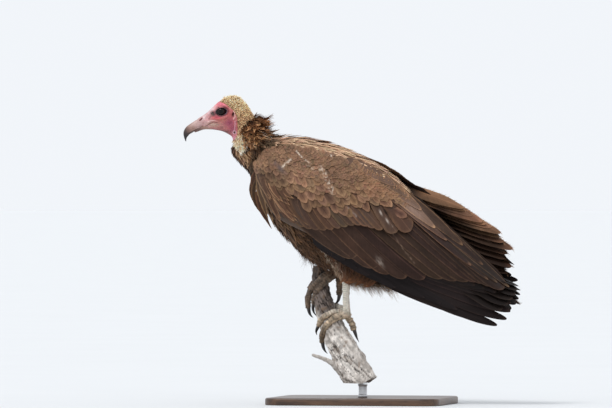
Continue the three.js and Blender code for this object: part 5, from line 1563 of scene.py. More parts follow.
def wing_plumage(sgn):
    rng = np.random.default_rng(100 + (sgn > 0))
    nm = "left" if sgn < 0 else "right"
    # primaries, the lowest layer: the tenth is the outermost and the deepest
    dark = Coat("primaries_" + nm, "flight_feathers", M_DARK, ("wing_tip_" + nm,))
    tips = [(474, 284), (484, 287), (495, 291), (503, 296.5), (509.5, 302.5), (509, 310.5), (505.2, 318.2), (495.8, 324.4), (487, 320.5), (473, 313.6)]
    roots = [(372, 232), (368, 233), (364, 234), (360, 236), (357, 238), (354, 239.5), (351, 241), (348, 242.5), (344, 244), (340, 246)]
    n = len(tips)
    bow = np.linspace(6, 15, n)
    W = np.linspace(30, 23, n)
    V, s, x, L, hw, q = wing_lay(sgn, roots, tips, W, 48, 13, sh_primary, rng, bow=bow, lift0=np.linspace(-11, -19, n), lift1=np.linspace(-6, -15, n), tilt=1.3, camber=0.9, fray=0.16, jit=0.0)
    c = vane_colour(n, 48, 13, s, x, PRIM_C, PRIM_E, rng, tipw=0.02, edgew=0.12, root_dark=0.2, var=0.14, hue=0.02)
    px_, py_ = grid_of(q[..., 0], q[..., 1])
    c = c * (1 + 0.22 * fbm(np.stack([px_ * 0.06, py_ * 0.3, 0 * px_ + 9], -1), 3, 15))[..., None]
    dark.add(V, c, 0.66, fa_of(n, 48, 13, s, x, L, hw, rng), big_islands(n, 48, 13, s, x, 0, 1))
    # their outer edges show below the secondaries as a dark band, coloured darker than the other primaries: painted
    # shade under the secondaries
    r2 = [(314 + 3.4 * i, 236.5 + 0.9 * i) for i in range(9)]
    t2 = [(345, 259), (357, 267.4), (369, 274.6), (381.5, 281), (395, 287), (409, 292), (424, 297), (440, 302.6), (456, 308.6)]
    n = len(t2)
    V, s, x, L, hw, q = wing_lay(sgn, r2, t2, np.linspace(17, 20, n), 40, 11, sh_primary, rng, bow=4.0, lift0=np.linspace(-8.0, -11, n), lift1=np.linspace(-5.5, -11, n), tilt=0.9, camber=0.8, fray=0.2, jit=0.2)
    c = vane_colour(n, 40, 11, s, x, lin(24, 18, 18), lin(38, 29, 27), rng, tipw=0.02, edgew=0.12, root_dark=0.2, var=0.14, hue=0.02)
    dark.add(V, c, 0.6, fa_of(n, 40, 11, s, x, L, hw, rng), wing_uv(q, n, 40, 11, s, x, 0.03))
    dark.build()
    # secondaries, the inner over the outer
    sec = Coat("secondaries_" + nm, "flight_feathers", M_DARK)
    tips = [(357, 254), (377, 265), (391, 271.6), (406, 276.4), (424, 277.6), (443, 276.4), (457, 278.6), (468, 279.4), (478, 279.6), (487, 281.6), (495, 284.4), (503, 287.6)]
    roots = [(300, 214), (311, 209), (321, 205), (331, 202), (341, 200), (352, 199), (362, 198), (372, 197), (381, 196), (389, 195), (395, 194), (401, 193)]
    n = len(tips)
    V, s, x, L, hw, q = wing_lay(sgn, roots, tips, np.linspace(30, 33, n), 48, 15, sh_flight, rng, bow=np.linspace(6, 2, n), lift0=np.linspace(-9.5, -5.5, n), lift1=np.linspace(-6.5, -1.0, n), tilt=1.9, camber=0.6, fray=0.2, jit=0.0)
    cen = np.linspace(0, 1, n)[:, None]
    c = vane_colour(n, 48, 15, s, x, mix(SEC_C, SEC_C * 0.42, cen), mix(SEC_E, SEC_E * 0.5, cen), rng, tipw=0.02, edgew=0.07, root_dark=0.25, var=0.12, hue=0.03)
    px_, py_ = grid_of(q[..., 0], q[..., 1])
    wear = fbm(np.stack([px_ * 0.05 + py_ * 0.06, py_ * 0.22 - px_ * 0.17, 0 * px_ + 3], -1), 4, 5)
    c = c * (1 + 0.24 * wear)[..., None]
    c = c * (1 - 0.35 * smooth(x, -0.2, -0.9) * 0 - 0.30 * smooth(-x, 0.0, 0.7))[None, None, :, None]
    if sgn < 0:
        spot = gauss(px_, py_, 379.5, 262, 2.4, 5.0, -30) * smooth(vnoise(np.stack([px_ * 0.7, py_ * 0.7, 0 * px_], -1), 3), -0.3, 0.4)
        c = mix(c, lin(158, 142, 130), np.clip(0.7 * spot, 0, 0.6)[..., None])
        c = mix(c, lin(140, 116, 98), (0.55 * ridge(px_, py_, [(392, 233), (402, 248), (413, 262)], 0.32))[..., None])
    al = np.where(np.arange(n) % 3 == 1, 0.90, 0.66)[:, None, None]
    sec.add(V, c, al, fa_of(n, 48, 15, s, x, L, hw, rng), big_islands(n, 48, 15, s, x, 0, 2))
    # tertials: long and narrow, side by side along the upper edge
    items = [((388, 190), (487, 279), 17, 1.0, 0.2, 0), ((390, 187), (496, 282), 16, 0.5, 0.5, 0), ((392, 185), (508, 286.6), 17, 0, 0.8, 0), ((386, 190), (470, 265), 17, 0, 1.0, 0),
             ((384, 182), (482, 264.4), 17, -1.5, 1.3, 0), ((382, 178), (462, 245.0), 18, -2.5, 1.8, 0.2), ((372, 180), (446, 240), 17, -1.5, 2.1, 0.35),
             ((370, 173), (434.4, 227.6), 21, -2.0, 2.7, 1.0), ((362, 168), (421, 210), 19, -3.0, 3.1, 0.9), ((356, 164), (408, 197), 20, -3.0, 3.4, 0.8), ((346, 160), (395, 186), 20, -3.0, 3.6, 0.7)]
    n = len(items)
    pale = np.array([i[5] for i in items])[:, None]
    V, s, x, L, hw, q = wing_lay(sgn, [i[0] for i in items], [i[1] for i in items], np.array([i[2] for i in items]), 40, 11, sh_tert, rng, bow=np.array([i[3] for i in items]),
                                 lift0=np.linspace(-3.0, 0.6, n), lift1=np.array([i[4] for i in items]), tilt=1.1, camber=0.9, fray=0.3, jit=0.0)
    c = vane_colour(n, 40, 11, s, x, mix(lin(42, 30, 26), lin(112, 86, 69), pale), mix(lin(98, 72, 55), lin(164, 126, 94), pale), rng, tipw=0.03, edgew=0.15, root_dark=0.25, var=0.09, hue=0.03)
    px_, py_ = grid_of(q[..., 0], q[..., 1])
    c = c * (1 + 0.20 * fbm(np.stack([px_ * 0.06 + py_ * 0.06, py_ * 0.3 - px_ * 0.24, 0 * px_ + 4], -1), 3, 25))[..., None]
    if sgn < 0:
        lil = gauss(px_, py_, 414, 211, 14, 5, 42)
        c = mix(c, lin(150, 124, 112), (0.5 * lil * smooth(px_, 398, 404))[..., None])
    sec.add(V, c, 0.42, fa_of(n, 40, 11, s, x, L, hw, rng), big_islands(n, 40, 11, s, x, 1, 2))
    sec.build()
    # greater coverts
    cov = Coat("coverts_" + nm, "body_feathers", M_VANE, patch=0.012)
    tips = np.array([(283.4, 203), (287, 211), (292.6, 217.4), (298.8, 222), (305.4, 225.6), (312, 227.8), (319, 229), (326, 229.4), (333, 228.8), (340, 227.4), (347, 226), (354, 224.6), (361, 224.2), (368, 225.2), (375, 227), (382, 229), (396, 232), (409.8, 230.8)])
    n = len(tips)
    f = np.linspace(0, 1, n)
    ang = np.radians(mix(66, 50, smooth(f, 0, 0.8)))
    Lp = mix(34, 44, f)
    roots = tips - np.stack([np.cos(ang) * Lp, np.sin(ang) * Lp], -1)
    roots[-1], roots[-2] = (384, 192), (374, 194)
    W = np.where(f < 0.93, mix(15.5, 18, f), 29)
    V, s, x, L, hw, q = wing_lay(sgn, roots, tips, W, 30, 13, sh_flight, rng, bow=mix(10, 2, smooth(f, 0, 0.6)), lift0=-2.8, lift1=np.linspace(-0.6, 0.5, n), tilt=mix(0.7, 1.6, smooth(f, 0.1, 0.4)), camber=0.5, fray=0.4, jit=0.12)
    c = vane_colour(n, 30, 13, s, x, mix(GREAT_C, GREAT_C * 1.12, f[:, None]), GREAT_E, rng, tipw=0.05, edgew=0.30, root_dark=0.25, var=0.15, hue=0.04)
    px_, py_ = grid_of(q[..., 0], q[..., 1])
    slate = smooth(vnoise(np.stack([px_ * 0.10, py_ * 0.04, 0 * px_ + 2], -1), 41), -0.1, 0.6) * smooth(f, 0.0, 0.2)[:, None, None]
    c = mix(c, lin(64, 56, 52), (0.55 * slate * (1 - smooth(np.abs(x), 0.4, 0.8)))[..., None])
    if sgn < 0:
        white = 0.42 * ridge(px_, py_, [(345.4, 206), (350, 210.4), (356, 216)], 0.9) * smooth(vnoise(np.stack([px_ * 1.1, py_ * 1.1, 0 * px_], -1), 71), -0.6, 0.3)
        white = np.maximum(white, ridge(px_, py_, [(377.4, 209), (384, 217.6), (391.6, 226.6)], 0.34) * 0.7)
        c = mix(c, lin(206, 192, 180), np.clip(white, 0, 0.9)[..., None])
        # a painted shadow in the gap between two greater coverts
        gap_shadow = gauss(px_, py_, 385.4, 212, 1.8, 4.4, -42)
        c = c * (1 - 0.85 * gap_shadow)[..., None]
    cov.add(V, c, 0.66, fa_of(n, 30, 13, s, x, L, hw, rng), wing_uv(q, n, 30, 13, s, x, 0.03))
    # long pointed feathers that fall from under the wrist
    for j, (a0, a1, m, Lq) in enumerate((((257, 172), (284, 186), 12, 44), ((256, 166), (283, 178), 12, 32))):
        f = (np.arange(m) + 0.5) / m
        r0 = np.array(a0) * (1 - f)[:, None] + np.array(a1) * f[:, None]
        an = np.radians(mix(72, 62, f) + 3.5 * rng.normal(size=m))
        Lm = Lq * (1 + 0.08 * rng.normal(size=m)) / 1.0
        t0 = r0 + np.stack([np.cos(an) * Lm * 0.98, np.sin(an) * Lm * 0.98], -1)
        V, s, x, L, hw, q = wing_lay(sgn, r0, t0, 12 + 1.5 * rng.random(m), 26, 9, sh_lance, rng, bow=mix(3, 8, f), lift0=-1.2, lift1=0.3 + 1.1 * j, tilt=0.5, camber=0.7, fray=0.8, jit=0.3, rows=1.1)
        c = vane_colour(m, 26, 9, s, x, lin(82, 58, 44), lin(150, 114, 84), rng, tipw=0.08, edgew=0.30, root_dark=0.5, var=0.18, hue=0.03)
        cov.add(V, c, 0.38, fa_of(m, 26, 9, s, x, L, hw, rng), wing_uv(q, m, 26, 9, s, x, 0.02))
    # median and lesser coverts in rows, each row over the one below
    frow = [0.0, 0.135, 0.26, 0.36, 0.44, 0.51, 0.57, 0.625, 0.675, 0.72, 0.76, 0.80, 0.835, 0.87, 0.90, 0.93, 0.955, 0.98]
    nr = len(frow)
    fr = np.array(frow)
    Ls = mix(40, 13, smooth(fr, 0, 0.75) ** 0.75)
    Ws = mix(17.5, 8.4, smooth(fr, 0.05, 0.70))
    Rt, Tp, Ww, Ck, Lf = [], [], [], [], []
    for j, f0 in enumerate(frow):
        tk = np.linspace(0.03, 6.3, 900)
        kb = np.interp(tk, [0, 0.5, 1, 1.6, 2, 3, 4, 5, 6], [0.02, 0.2, 0.36, 0.42, 0.42, 0.40, 0.42, 0.60, 0.86])
        k0 = kb + (np.interp(tk, [0, 1.4, 2, 3, 4, 5, 6], [0.985, 0.985, 0.955, 0.935, 0.92, 0.95, 0.98]) - kb) * f0
        u, h, _ = wing_face(tk, k0)
        arc = np.concatenate([[0], np.cumsum(np.hypot(np.diff(u), np.diff(h)))])
        small = mix(0.62, 1.0, smooth(tk, 1.0, 2.2)) * mix(1.0, 0.85, smooth(tk, 4.6, 6))
        step = 0.52 * Ws[j] * small
        pos, lst = 0.5 * (j % 2) * Ws[j] * 0.5, []
        while pos < arc[-1]:
            lst.append(pos)
            pos += float(np.interp(pos, arc, step)) * (1 + 0.14 * rng.normal())
        ta = np.interp(lst, arc, tk)
        sz = np.interp(ta, tk, small)
        m = len(ta)
        kk_ = np.clip(np.interp(ta, tk, k0) + (0.050 - 0.028 * f0) * rng.normal(size=m), 0.01, 0.99)
        u, h, _ = wing_face(ta, kk_)
        px_, py_ = grid_of(u, h)
        ang = np.radians(wing_angle(px_, py_) * (1 - 0.50 * smooth(f0, 0.6, 1.0) * smooth(px_, 285, 330)) + 9 * rng.normal(size=m))
        Lm = Ls[j] * sz * (1 + 0.10 * rng.normal(size=m))
        Tp.append(np.stack([px_, py_], -1))
        Rt.append(np.stack([px_ - np.cos(ang) * Lm / K, py_ - np.sin(ang) * Lm / K], -1))
        Ww.append(Ws[j] * sz * (1 + 0.10 * rng.normal(size=m)))
        Ck.append(np.full(m, f0))
        Lf.append(np.full(m, 0.9 + 1.9 * f0 ** 0.7))
    Rt, Tp, Ww, Ck, Lf = (np.concatenate(v) for v in (Rt, Tp, Ww, Ck, Lf))
    # roots that would fall outside the wing's outline are pulled in
    Rt[:, 1] = np.maximum(Rt[:, 1], np.interp(Rt[:, 0], [255, 261, 268, 289, 319, 348, 376, 403], [160, 152.5, 148, 147, 152, 162.5, 175, 193]))
    Rt[:, 0] = np.maximum(Rt[:, 0], 256.5)
    n = len(Rt)
    V, s, x, L, hw, q = wing_lay(sgn, Rt, Tp, Ww, 13, 9, sh_contour, rng, bow=0.5 * rng.normal(size=n), lift0=Lf - 2.8, lift1=Lf + 0.25 * rng.normal(size=n), tilt=0.35, camber=0.75, curl=0.2, fray=1.0, jit=0.25)
    soft = smooth(Ck, 0.12, 0.50)[:, None]
    near = (1 - smooth(Ck, 0.0, 0.30))[:, None]
    c = vane_colour(n, 13, 9, s, x, mix(mix(COVERT_C, LESSER_C, soft), GREAT_C * 1.12, 0.75 * near), mix(mix(COVERT_E, LESSER_E, soft), GREAT_E * 1.20, 0.7 * near), rng, tipw=0.18, edgew=0.48, root_dark=0.4, var=0.14, hue=0.03)
    px_, py_ = grid_of(q[..., 0], q[..., 1])
    blotch = fbm(np.stack([px_ * 0.075, py_ * 0.05, 0 * px_ + sgn], -1), 4, 19)
    c = c * (1 + 0.20 * blotch)[..., None]
    fleck = vnoise(np.stack([px_ * 0.9, py_ * 0.45, 0 * px_], -1), 51)
    c = c * (1 + 0.10 * fleck)[..., None]
    pale = smooth(px_, 340, 378) * smooth(-py_, -206, -186) * smooth(py_, 150, 172)
    c = mix(c, c * np.array([1.18, 1.12, 1.02]), (0.8 * pale)[..., None])
    low = smooth(-px_, -300, -262) * smooth(py_, 160, 176)
    c = c * (1 - 0.25 * low)[..., None]
    # slate patch below the wrist and pale worn places
    slate = np.maximum(gauss(px_, py_, 280.5, 168.5, 6.4, 2.6, 52), 0.8 * gauss(px_, py_, 275.4, 163, 2.0, 3.4, 10))
    c = mix(c, c * 0 + lin(84, 74, 74), (0.8 * slate)[..., None])
    if sgn < 0:
        p3 = np.stack([px_ * 0.62, py_ * 0.62, 0 * px_], -1)
        nz = smooth(vnoise(p3, 33) + 0.7 * vnoise(p3 * 2.6, 35), -0.15, 0.5)
        nz2 = smooth(vnoise(p3 * 1.6, 37) + 0.6 * vnoise(p3 * 4, 38), -0.75, 0.0)
        worn = 1.2 * nz2 * ridge(px_, py_, [(282.8, 167.0), (286, 163.8), (290.6, 159.8)], 1.05)
        worn = np.maximum(worn, 1.4 * nz2 * ridge(px_, py_, [(296.5, 151.4), (299, 154), (302, 157.4)], 0.7) * 0.8)
        worn = np.maximum(worn, nz2 * 0.6 * ridge(px_, py_, [(305, 159.8), (309, 163)], 0.7))
        worn = np.maximum(worn, nz * 0.72 * ridge(px_, py_, [(320.5, 168.5), (325, 175), (328.6, 183), (332.6, 192)], 2.3))
        worn = np.maximum(worn, nz * 0.9 * gauss(px_, py_, 331, 155.6, 4.0, 1.2, 22))
        worn = np.maximum(worn, nz * 0.4 * gauss(px_, py_, 310, 166, 8, 2.4, 42))
        c = mix(c, c * 0 + lin(206, 188, 170), np.clip(worn, 0, 0.85)[..., None])
    cov.add(V, c, 0.36, fa_of(n, 13, 9, s, x, L, hw, rng), wing_uv(q, n, 13, 9, s, x, cov.patch))
    cov.build()


for sgn in (-1, 1):
    wing_plumage(sgn)


# ------------------------------------------------------------------ free feathers: tail and the right wing's inner feathers
def free_vanes(items, R, C, shape, rng, bowup=0.0, camber=0.06):
    """items: root, tip, width, the way the upper face looks"""
    V, Ls, HW = [], [], []
    s = 1 - (1 - np.linspace(0, 1, R)) ** 1.25
    x = np.linspace(-1, 1, C)
    for root, tip, w, out in items:
        root, tip, out = (np.asarray(v, float) for v in (root, tip, out))
        d = tip - root
        L = np.linalg.norm(d)
        d = d / L
        a = np.cross(d, out)
        a = a / np.linalg.norm(a)
        f = np.cross(a, d)
        f = f if np.dot(f, out) > 0 else -f
        hw = w / 2 * shape(s)
        p = root + d * (s * L)[:, None] + f * (bowup * 4 * s * (1 - s))[:, None]
        q = p[:, None] + a * (x[None] * hw[:, None])[..., None] - f * (camber * np.abs(x[None]) ** 1.6 * hw[:, None])[..., None]
        q = q - d * (0.10 * (np.abs(x) ** 1.6)[None] * hw[:, None] * (0.7 + 0.6 * rng.random((R, C))))[..., None]
        V.append(q), Ls.append(L), HW.append(hw)
    return np.array(V), s, x, np.array(Ls), np.array(HW)


rng = np.random.default_rng(7)
tail = Coat("tail_feathers", "flight_feathers", M_DARK, ("tail",))
items = []
for sgn in (-1, 1):
    for i, (r_, t_, w) in enumerate(RECT):
        r_, t_ = np.array(r_, float), np.array(t_, float)
        r_[2] -= 0.7 * i + (0.35 if sgn > 0 else 0)
        t_[2] -= (0.35 if sgn > 0 else 0)
        if sgn > 0:
            r_[1] *= -1
            t_[1] *= -1
        items.append((r_, t_, w * 0.98, (0.5, sgn * (0.1 + 0.15 * i), 0.85)))
V, s, x, L, hw = free_vanes(items, 44, 15, sh_flight, rng, 1.5, 0.05)
n = len(items)
c = vane_colour(n, 44, 15, s, x, lin(26, 20, 18), lin(44, 34, 29), rng, tipw=0.015, edgew=0.10, root_dark=0.1, var=0.10, hue=0.02)
tail.add(V, c, 0.7, fa_of(n, 44, 15, s, x, L, hw, rng), big_islands(n, 44, 15, s, x, 0, 2))
# undertail and uppertail coverts lie over the feathers' bases
items = []
for i in range(26):
    f = (i % 13) / 12 * 2 - 1
    up = i < 13
    yy = f * 24
    root = (92 + 4 * rng.normal(), yy * 0.6, (283 if up else 258) - 10 * abs(f))
    tip = (158 + 10 * rng.normal() - 14 * abs(f), yy * 1.15, (258 if up else 221) - 9 * abs(f))
    items.append((root, tip, 24, (0.4, 0.5 * f, 0.9 if up else -0.9)))
V, s, x, L, hw = free_vanes(items, 16, 9, sh_contour, rng, 2.0, 0.12)
n = len(items)
c = vane_colour(n, 16, 9, s, x, lin(88, 68, 56), lin(134, 106, 84), rng)
tail.add(V, c, 0.4, fa_of(n, 16, 9, s, x, L, hw, rng), big_islands(n, 16, 9, s, x, 1, 2))
tail.build()

far = Coat("inner_feathers_right", "flight_feathers", M_DARK)
items, shade = [], []
rr = np.random.default_rng(17)
m = len(FAR_INNER)
for f in np.concatenate([np.arange(m - 1) + 0.0, np.arange(m - 2) + 0.36, np.arange(m - 2) + 0.70, [m - 1.0]]):
    i = min(int(f), m - 2)
    g = f - i
    (a0, ya), (a1, yb), wa = FAR_INNER[i]
    (b0, yc), (b1, yd), wb = FAR_INNER[i + 1]
    p0 = np.array(a0) * (1 - g) + np.array(b0) * g
    p1 = np.array(a1) * (1 - g) + np.array(b1) * g
    dd = (p1 - p0) / np.hypot(*(p1 - p0))
    if 0 < g < 1:
        p1 = p1 - dd * (3.0 + 5.0 * rr.random())
    y0, y1 = mix(ya, yc, g) + (1.2 if 0 < g < 1 else 0), mix(yb, yd, g) + (1.2 if 0 < g < 1 else 0)
    items.append((side(*el(*p0), y0), side(*el(*p1), y1), mix(wa, wb, g) * (0.80 if 0 < g < 1 else 0.92) * (0.9 if f < m - 1 else 1.0), (0.35, -0.65, 0.7)))
    shade.append(f / (m - 1))
V, s, x, L, hw = free_vanes(items, 44, 15, sh_tert, rng, 3.0, 0.12)
n = len(items)
shade = np.array(shade)[:, None]
c = vane_colour(n, 44, 15, s, x, mix(lin(108, 76, 56), lin(84, 58, 43), smooth(shade, 0.1, 0.6)), mix(lin(124, 90, 66), lin(96, 68, 50), smooth(shade, 0.15, 0.7)), rng, tipw=0.05, edgew=0.30, root_dark=0.8, var=0.12)
# painted shade and light: the feathers go nearly black below the upper outline, are painted lighter along the outline
# itself, and darker towards their roots
px_, py_ = grid_of(V[..., 0] * COS + V[..., 1] * SIN, V[..., 2])
inward = py_ - np.interp(px_, [400, 414, 435.7, 452.3, 469, 480.7, 502.3, 511], [181, 188.3, 195, 203.3, 210, 221.7, 233.3, 247.5])
tip_ = smooth(s, 0.80, 0.97)[None, :, None] * smooth(px_, 478, 500)
c = c * mix(mix(1.0, 0.22, smooth(inward + 4 * fbm(V * 0.06, 3, 29), 2, 15)), 0.8, tip_ * (1 - smooth(inward, 14, 32)))[..., None]
c = mix(c, c * np.array([1.5, 1.5, 1.55]), (smooth(-inward, -3.0, 0.5) * 0.8)[..., None])
c = c * mix(0.25, 1.0, smooth(s, 0.16, 0.42))[None, :, None, None]
c = c * (1 + 0.18 * fbm(V * np.array([0.02, 0.05, 0.05]), 3, 9))[..., None]
far.add(V, c, 0.62, fa_of(n, 44, 15, s, x, L, hw, rng), big_islands(n, 44, 15, s, x, 0, 2))
# soft plumes along the upper edges of those feathers, painted darker away from the outline: painted shade
P_, D_, N_, u_, v_ = [], [], [], [], []
for k_ in range(n):
    ridge_ = V[k_, 4:42, 0 if V[k_, 20, 0, 2] > V[k_, 20, -1, 2] else -1]
    m2 = 150
    t = rr.random(m2) * (len(ridge_) - 1.01)
    i0 = t.astype(int)
    p = ridge_[i0] + (ridge_[i0 + 1] - ridge_[i0]) * (t - i0)[:, None]
    d = unit(ridge_[i0 + 1] - ridge_[i0])
    P_.append(p), D_.append(d), N_.append(unit(np.array([0.1, -0.3, 1.0]) + 0 * p)), u_.append((k_ + t / 40) / n), v_.append(0.55 + 0.4 * rr.random(m2))
P_, D_, N_, u_, v_ = (np.concatenate(z) for z in (P_, D_, N_, u_, v_))
N_ = unit(N_ - D_ * np.sum(N_ * D_, -1, keepdims=True))
px_, py_ = grid_of(P_[:, 0] * COS + P_[:, 1] * SIN, P_[:, 2])
in_ = smooth(py_ - np.interp(px_, [400, 414, 435.7, 452.3, 469, 480.7, 502.3, 511], [181, 188.3, 195, 203.3, 210, 221.7, 233.3, 247.5]), 4, 18) * (1 - 0.6 * smooth(px_, 488, 504))
add_blades(far, P_ - N_ * 2.5, N_, D_, 8 + 4 * rr.random(len(P_)), 0.9, rr, mix(lin(96, 64, 44), lin(26, 18, 15), in_[:, None]), mix(lin(186, 144, 108), lin(50, 35, 27), in_[:, None]), u_, v_, R=4, curl=0.2, stand=0.30, spread=0.14, var=0.12, dark=0.1)
far.build()

loose = Coat("breast_plumes", "body_feathers", M_VANE)
for sgn in (-1, 1):
    rr = np.random.default_rng(23 + sgn)
    r0 = np.array([(256.5, 172), (257, 175), (257.5, 178), (258, 181), (257, 170), (258.5, 184), (259.5, 188)]) + 0.5 * rr.normal(size=(7, 2))
    t0 = np.array([(262.4, 216), (258.4, 208), (260.4, 212), (257, 203), (255.4, 196), (267, 222), (271, 229)]) + 0.5 * rr.normal(size=(7, 2))
    V, s, x, L, hw, q = wing_lay(sgn, r0, t0, np.array([9, 9, 8.5, 8.5, 9, 9, 9]), 26, 7, sh_lance, rr, bow=np.array([10, 9.5, 9.5, 8, 6, 6, 5.5]), lift0=-4, lift1=-6, tilt=0.8, camber=0.9, fray=0.9, jit=1.2, rows=1.1, sink=6)
    n = len(r0)
    c = vane_colour(n, 26, 7, s, x, lin(64, 44, 33), lin(112, 80, 58), rr, tipw=0.1, edgew=0.3, root_dark=0.4, var=0.15)
    loose.add(V, c, 0.36, fa_of(n, 26, 7, s, x, L, hw, rr), wing_uv(q, n, 26, 7, s, x, 0.02))
loose.build()


# ------------------------------------------------------------------ head, neck and body plumage
def ang_pi(b):
    """how far b is from the underside, 0 to pi"""
    return np.abs(np.mod(b, TAU) - math.pi)


def ang_0(b):
    return math.pi - ang_pi(b)


def body_uv(a, b):
    return 0.004 + 0.992 * np.mod(b, TAU) / TAU, 0.004 + 0.992 * np.clip(a / NB, 0, 1)


def body_px(a, b):
    u, h, w = body_uhw(a, b)
    px, py = grid_of(u, h)
    return px, py, w


def under_wing(a, b):
    """True where a folded wing hides the body's side"""
    px, py, w = body_px(a, b)
    top = np.interp(px, [250, 289, 319, 348, 376, 403, 430], [158, 152, 156, 166, 180, 200, 224])
    low = np.interp(px, [250, 262, 272, 290, 310, 334, 364, 400], [160, 178, 196, 214, 226, 240, 250, 256])
    return (np.abs(w) > 22) & (py > top) & (py < low) & (px > 262)


def tufts(coat, P, Nn, D, L, W, rng, c0, c1, u0, v0, size, R=5, curl=0.25, stand=0.5, gather=0.8, tonevar=0.2, var=0.1, dark=0.45, coil=0.0):
    """strands gathered into locks: each leans over to the tip of the lock it belongs to"""
    n = len(P)
    cell = {}
    key = np.floor(P / size).astype(int)
    for i in rng.permutation(n):
        kx = tuple(key[i])
        if kx not in cell:
            cell[kx] = i
    near = np.array(list(cell.values()))
    kd_ = KDTree(len(near))
    for j, i in enumerate(near):
        kd_.insert(P[i], j)
    kd_.balance()
    lead = np.array([near[kd_.find(p)[1]] for p in P])
    st = np.clip(np.broadcast_to(stand, (n,)) + 0.22 * rng.normal(size=n), 0.05, 1.4)
    Ll = np.broadcast_to(L, (n,)) * (1 + 0.25 * rng.normal(size=n))
    cross_ = np.cross(Nn, D)
    turn = 0.5 * rng.normal(size=n)
    Dl = D * np.cos(turn)[:, None] + cross_ * np.sin(turn)[:, None]
    tip_l = P + (Dl * np.cos(st)[:, None] + Nn * np.sin(st)[:, None]) * Ll[:, None]
    tip = mix(P + (D * np.cos(st)[:, None] + Nn * np.sin(st)[:, None]) * np.broadcast_to(L, (n,))[:, None], tip_l[lead] + 0.12 * size * rng.normal(size=(n, 3)), gather)
    s = np.linspace(0, 1, R)
    d = tip - P
    ln = np.linalg.norm(d, axis=1)
    A = unit(np.cross(d, rng.normal(size=(n, 3))))
    B = unit(np.cross(d, A))
    ph = TAU * rng.random((n, 1)) * 0.3 + (TAU * rng.random((n, 1)))[lead]
    pts = []
    for k in s:
        h = k * d + Nn * (0.30 * ln * np.sin(math.pi * k) * np.sin(st))[:, None]
        pts.append(P + h + curl * ln[:, None] * k * (np.cos(ph + coil * k) * A + np.sin(ph + coil * k) * B))
    pts = np.stack(pts, 1)
    W = np.broadcast_to(W, (n,)).astype(float)
    S = unit(np.cross(unit(d), rng.normal(size=(n, 3))))
    w = W[:, None] / 2 * (1 - 0.85 * s[None] ** 1.6)
    V = np.stack([pts - S[:, None] * w[..., None], pts + S[:, None] * w[..., None]], 2)
    c0 = np.broadcast_to(c0, (n, 3))[:, None, None]
    c1 = np.broadcast_to(c1, (n, 3))[:, None, None]
    lt = (1 + tonevar * rng.normal(size=n))[lead][:, None, None, None]
    col = mix(c0, c1, (s ** 0.8)[None, :, None, None]) * (1 + var * rng.normal(size=(n, 1, 1, 1))) * np.clip(lt, 0.45, 1.7)
    # painted shade: each strand is darker towards its root, deep in the pile
    col = col * (1 - dark * (1 - smooth(s, 0, 0.6)))[None, :, None, None]
    col = np.broadcast_to(col, (*V.shape[:3], 3)).copy()
    fa = np.zeros(V.shape)
    fa[..., 1] = s[None, :, None] * 5
    fa[..., 2] = rng.random((n, 1, 1))
    coat.add(V, col, 0.5, fa, uv_of(u0, v0, n, R, 2, s, np.array([-1.0, 1.0]), coat.patch))


def behind(a, b):
    """how far (in side-view units) a place lies behind the ruff's front edge"""
    px, py, _ = body_px(a, b)
    return px - np.interp(py, [108, 112, 117, 120, 124, 129, 136, 143, 148, 153, 158], [258, 255, 251.5, 247, 243.4, 241.8, 244.2, 247.4, 244.6, 241, 237])


def vee(a, b):
    """1 in the pale wedge on each side of the foreneck"""
    px, py, _ = body_px(a, b)
    f = px - np.interp(py, [134, 137, 140, 146, 153], [226, 229.5, 232.4, 236, 241])
    return smooth(-behind(a, b), -0.5, 0.5) * smooth(f, -0.5, 0.5) * smooth(py, 128, 131) * smooth(-py, -154.5, -152.5)


def throat_front(a, b):
    px, py, _ = body_px(a, b)
    return (px - np.interp(py, [134, 137, 140, 146, 153], [226, 229.5, 232.4, 236, 241]) < 0.2) & (py > 138)


def wing_shade(V):
    """darker where the neck's and breast's feathers run in under the wing's leading edge"""
    px, py = grid_of(V[..., 0] * COS + V[..., 1] * SIN, V[..., 2])
    d = px - np.interp(py, [136, 141, 147, 150, 156, 164, 172, 180], [276, 268, 262, 257.5, 254.5, 253.5, 254, 256])
    return (1 - 0.80 * smooth(d, -7.0, -2.0) * smooth(py, 134, 141) * smooth(-py, -186, -176))[..., None]


# woolly down of the crown, nape and throat
rng = np.random.default_rng(21)
wool = Coat("down_head", "down", M_DOWN)
A, B = scatter(SB, 2.2, 12.6, 0.80, 0.80, rng, jitter=0.5)
px, py, w = body_px(A, B)
edge = down_edge(px, py)
kp = (edge < 0.25 + 0.35 * rng.normal(size=len(A))) & (behind(A, B) < 0.5 + 0.7 * rng.normal(size=len(A))) & ((py < 133) | (vee(A, B) > 0.2 + 0.5 * rng.random(len(A))))
A, B, px, py, w, edge = (v[kp] for v in (A, B, px, py, w, edge))
P, Nn = SB.at(A, B)
Tw = tailward(SB)(P, Nn, A, B)
Tw = unit(Tw - Nn * np.sum(Tw * Nn, -1, keepdims=True))
q3 = P * 0.30
swirl = np.stack([vnoise(q3, 1), vnoise(q3, 2), vnoise(q3, 3)], -1)
D = unit(Tw + 0.9 * swirl - Nn * np.sum(swirl * Nn, -1, keepdims=True) * 0.9)
cream = smooth(py, 126, 137)
near_edge = smooth(-edge, 0.0, 4.0)
L = mix(2.4, 5.4, near_edge) * (1 + 0.22 * rng.normal(size=len(A))) * mix(1, 1.25, cream)
L = np.clip(L * mix(1, 1.5, cream) * mix(1, 0.72, smooth(px, 236, 244) * smooth(-py, -118, -108)), 1.5, 9)
tone = 0.5 + 0.5 * vnoise(P * 0.42, 8)
mott = 1 + 0.24 * vnoise(P * 0.32, 14) + 0.44 * vnoise(P * 0.95, 15)
c0 = mix(lin(150, 112, 72), lin(214, 188, 146), cream[:, None]) * mott[:, None]
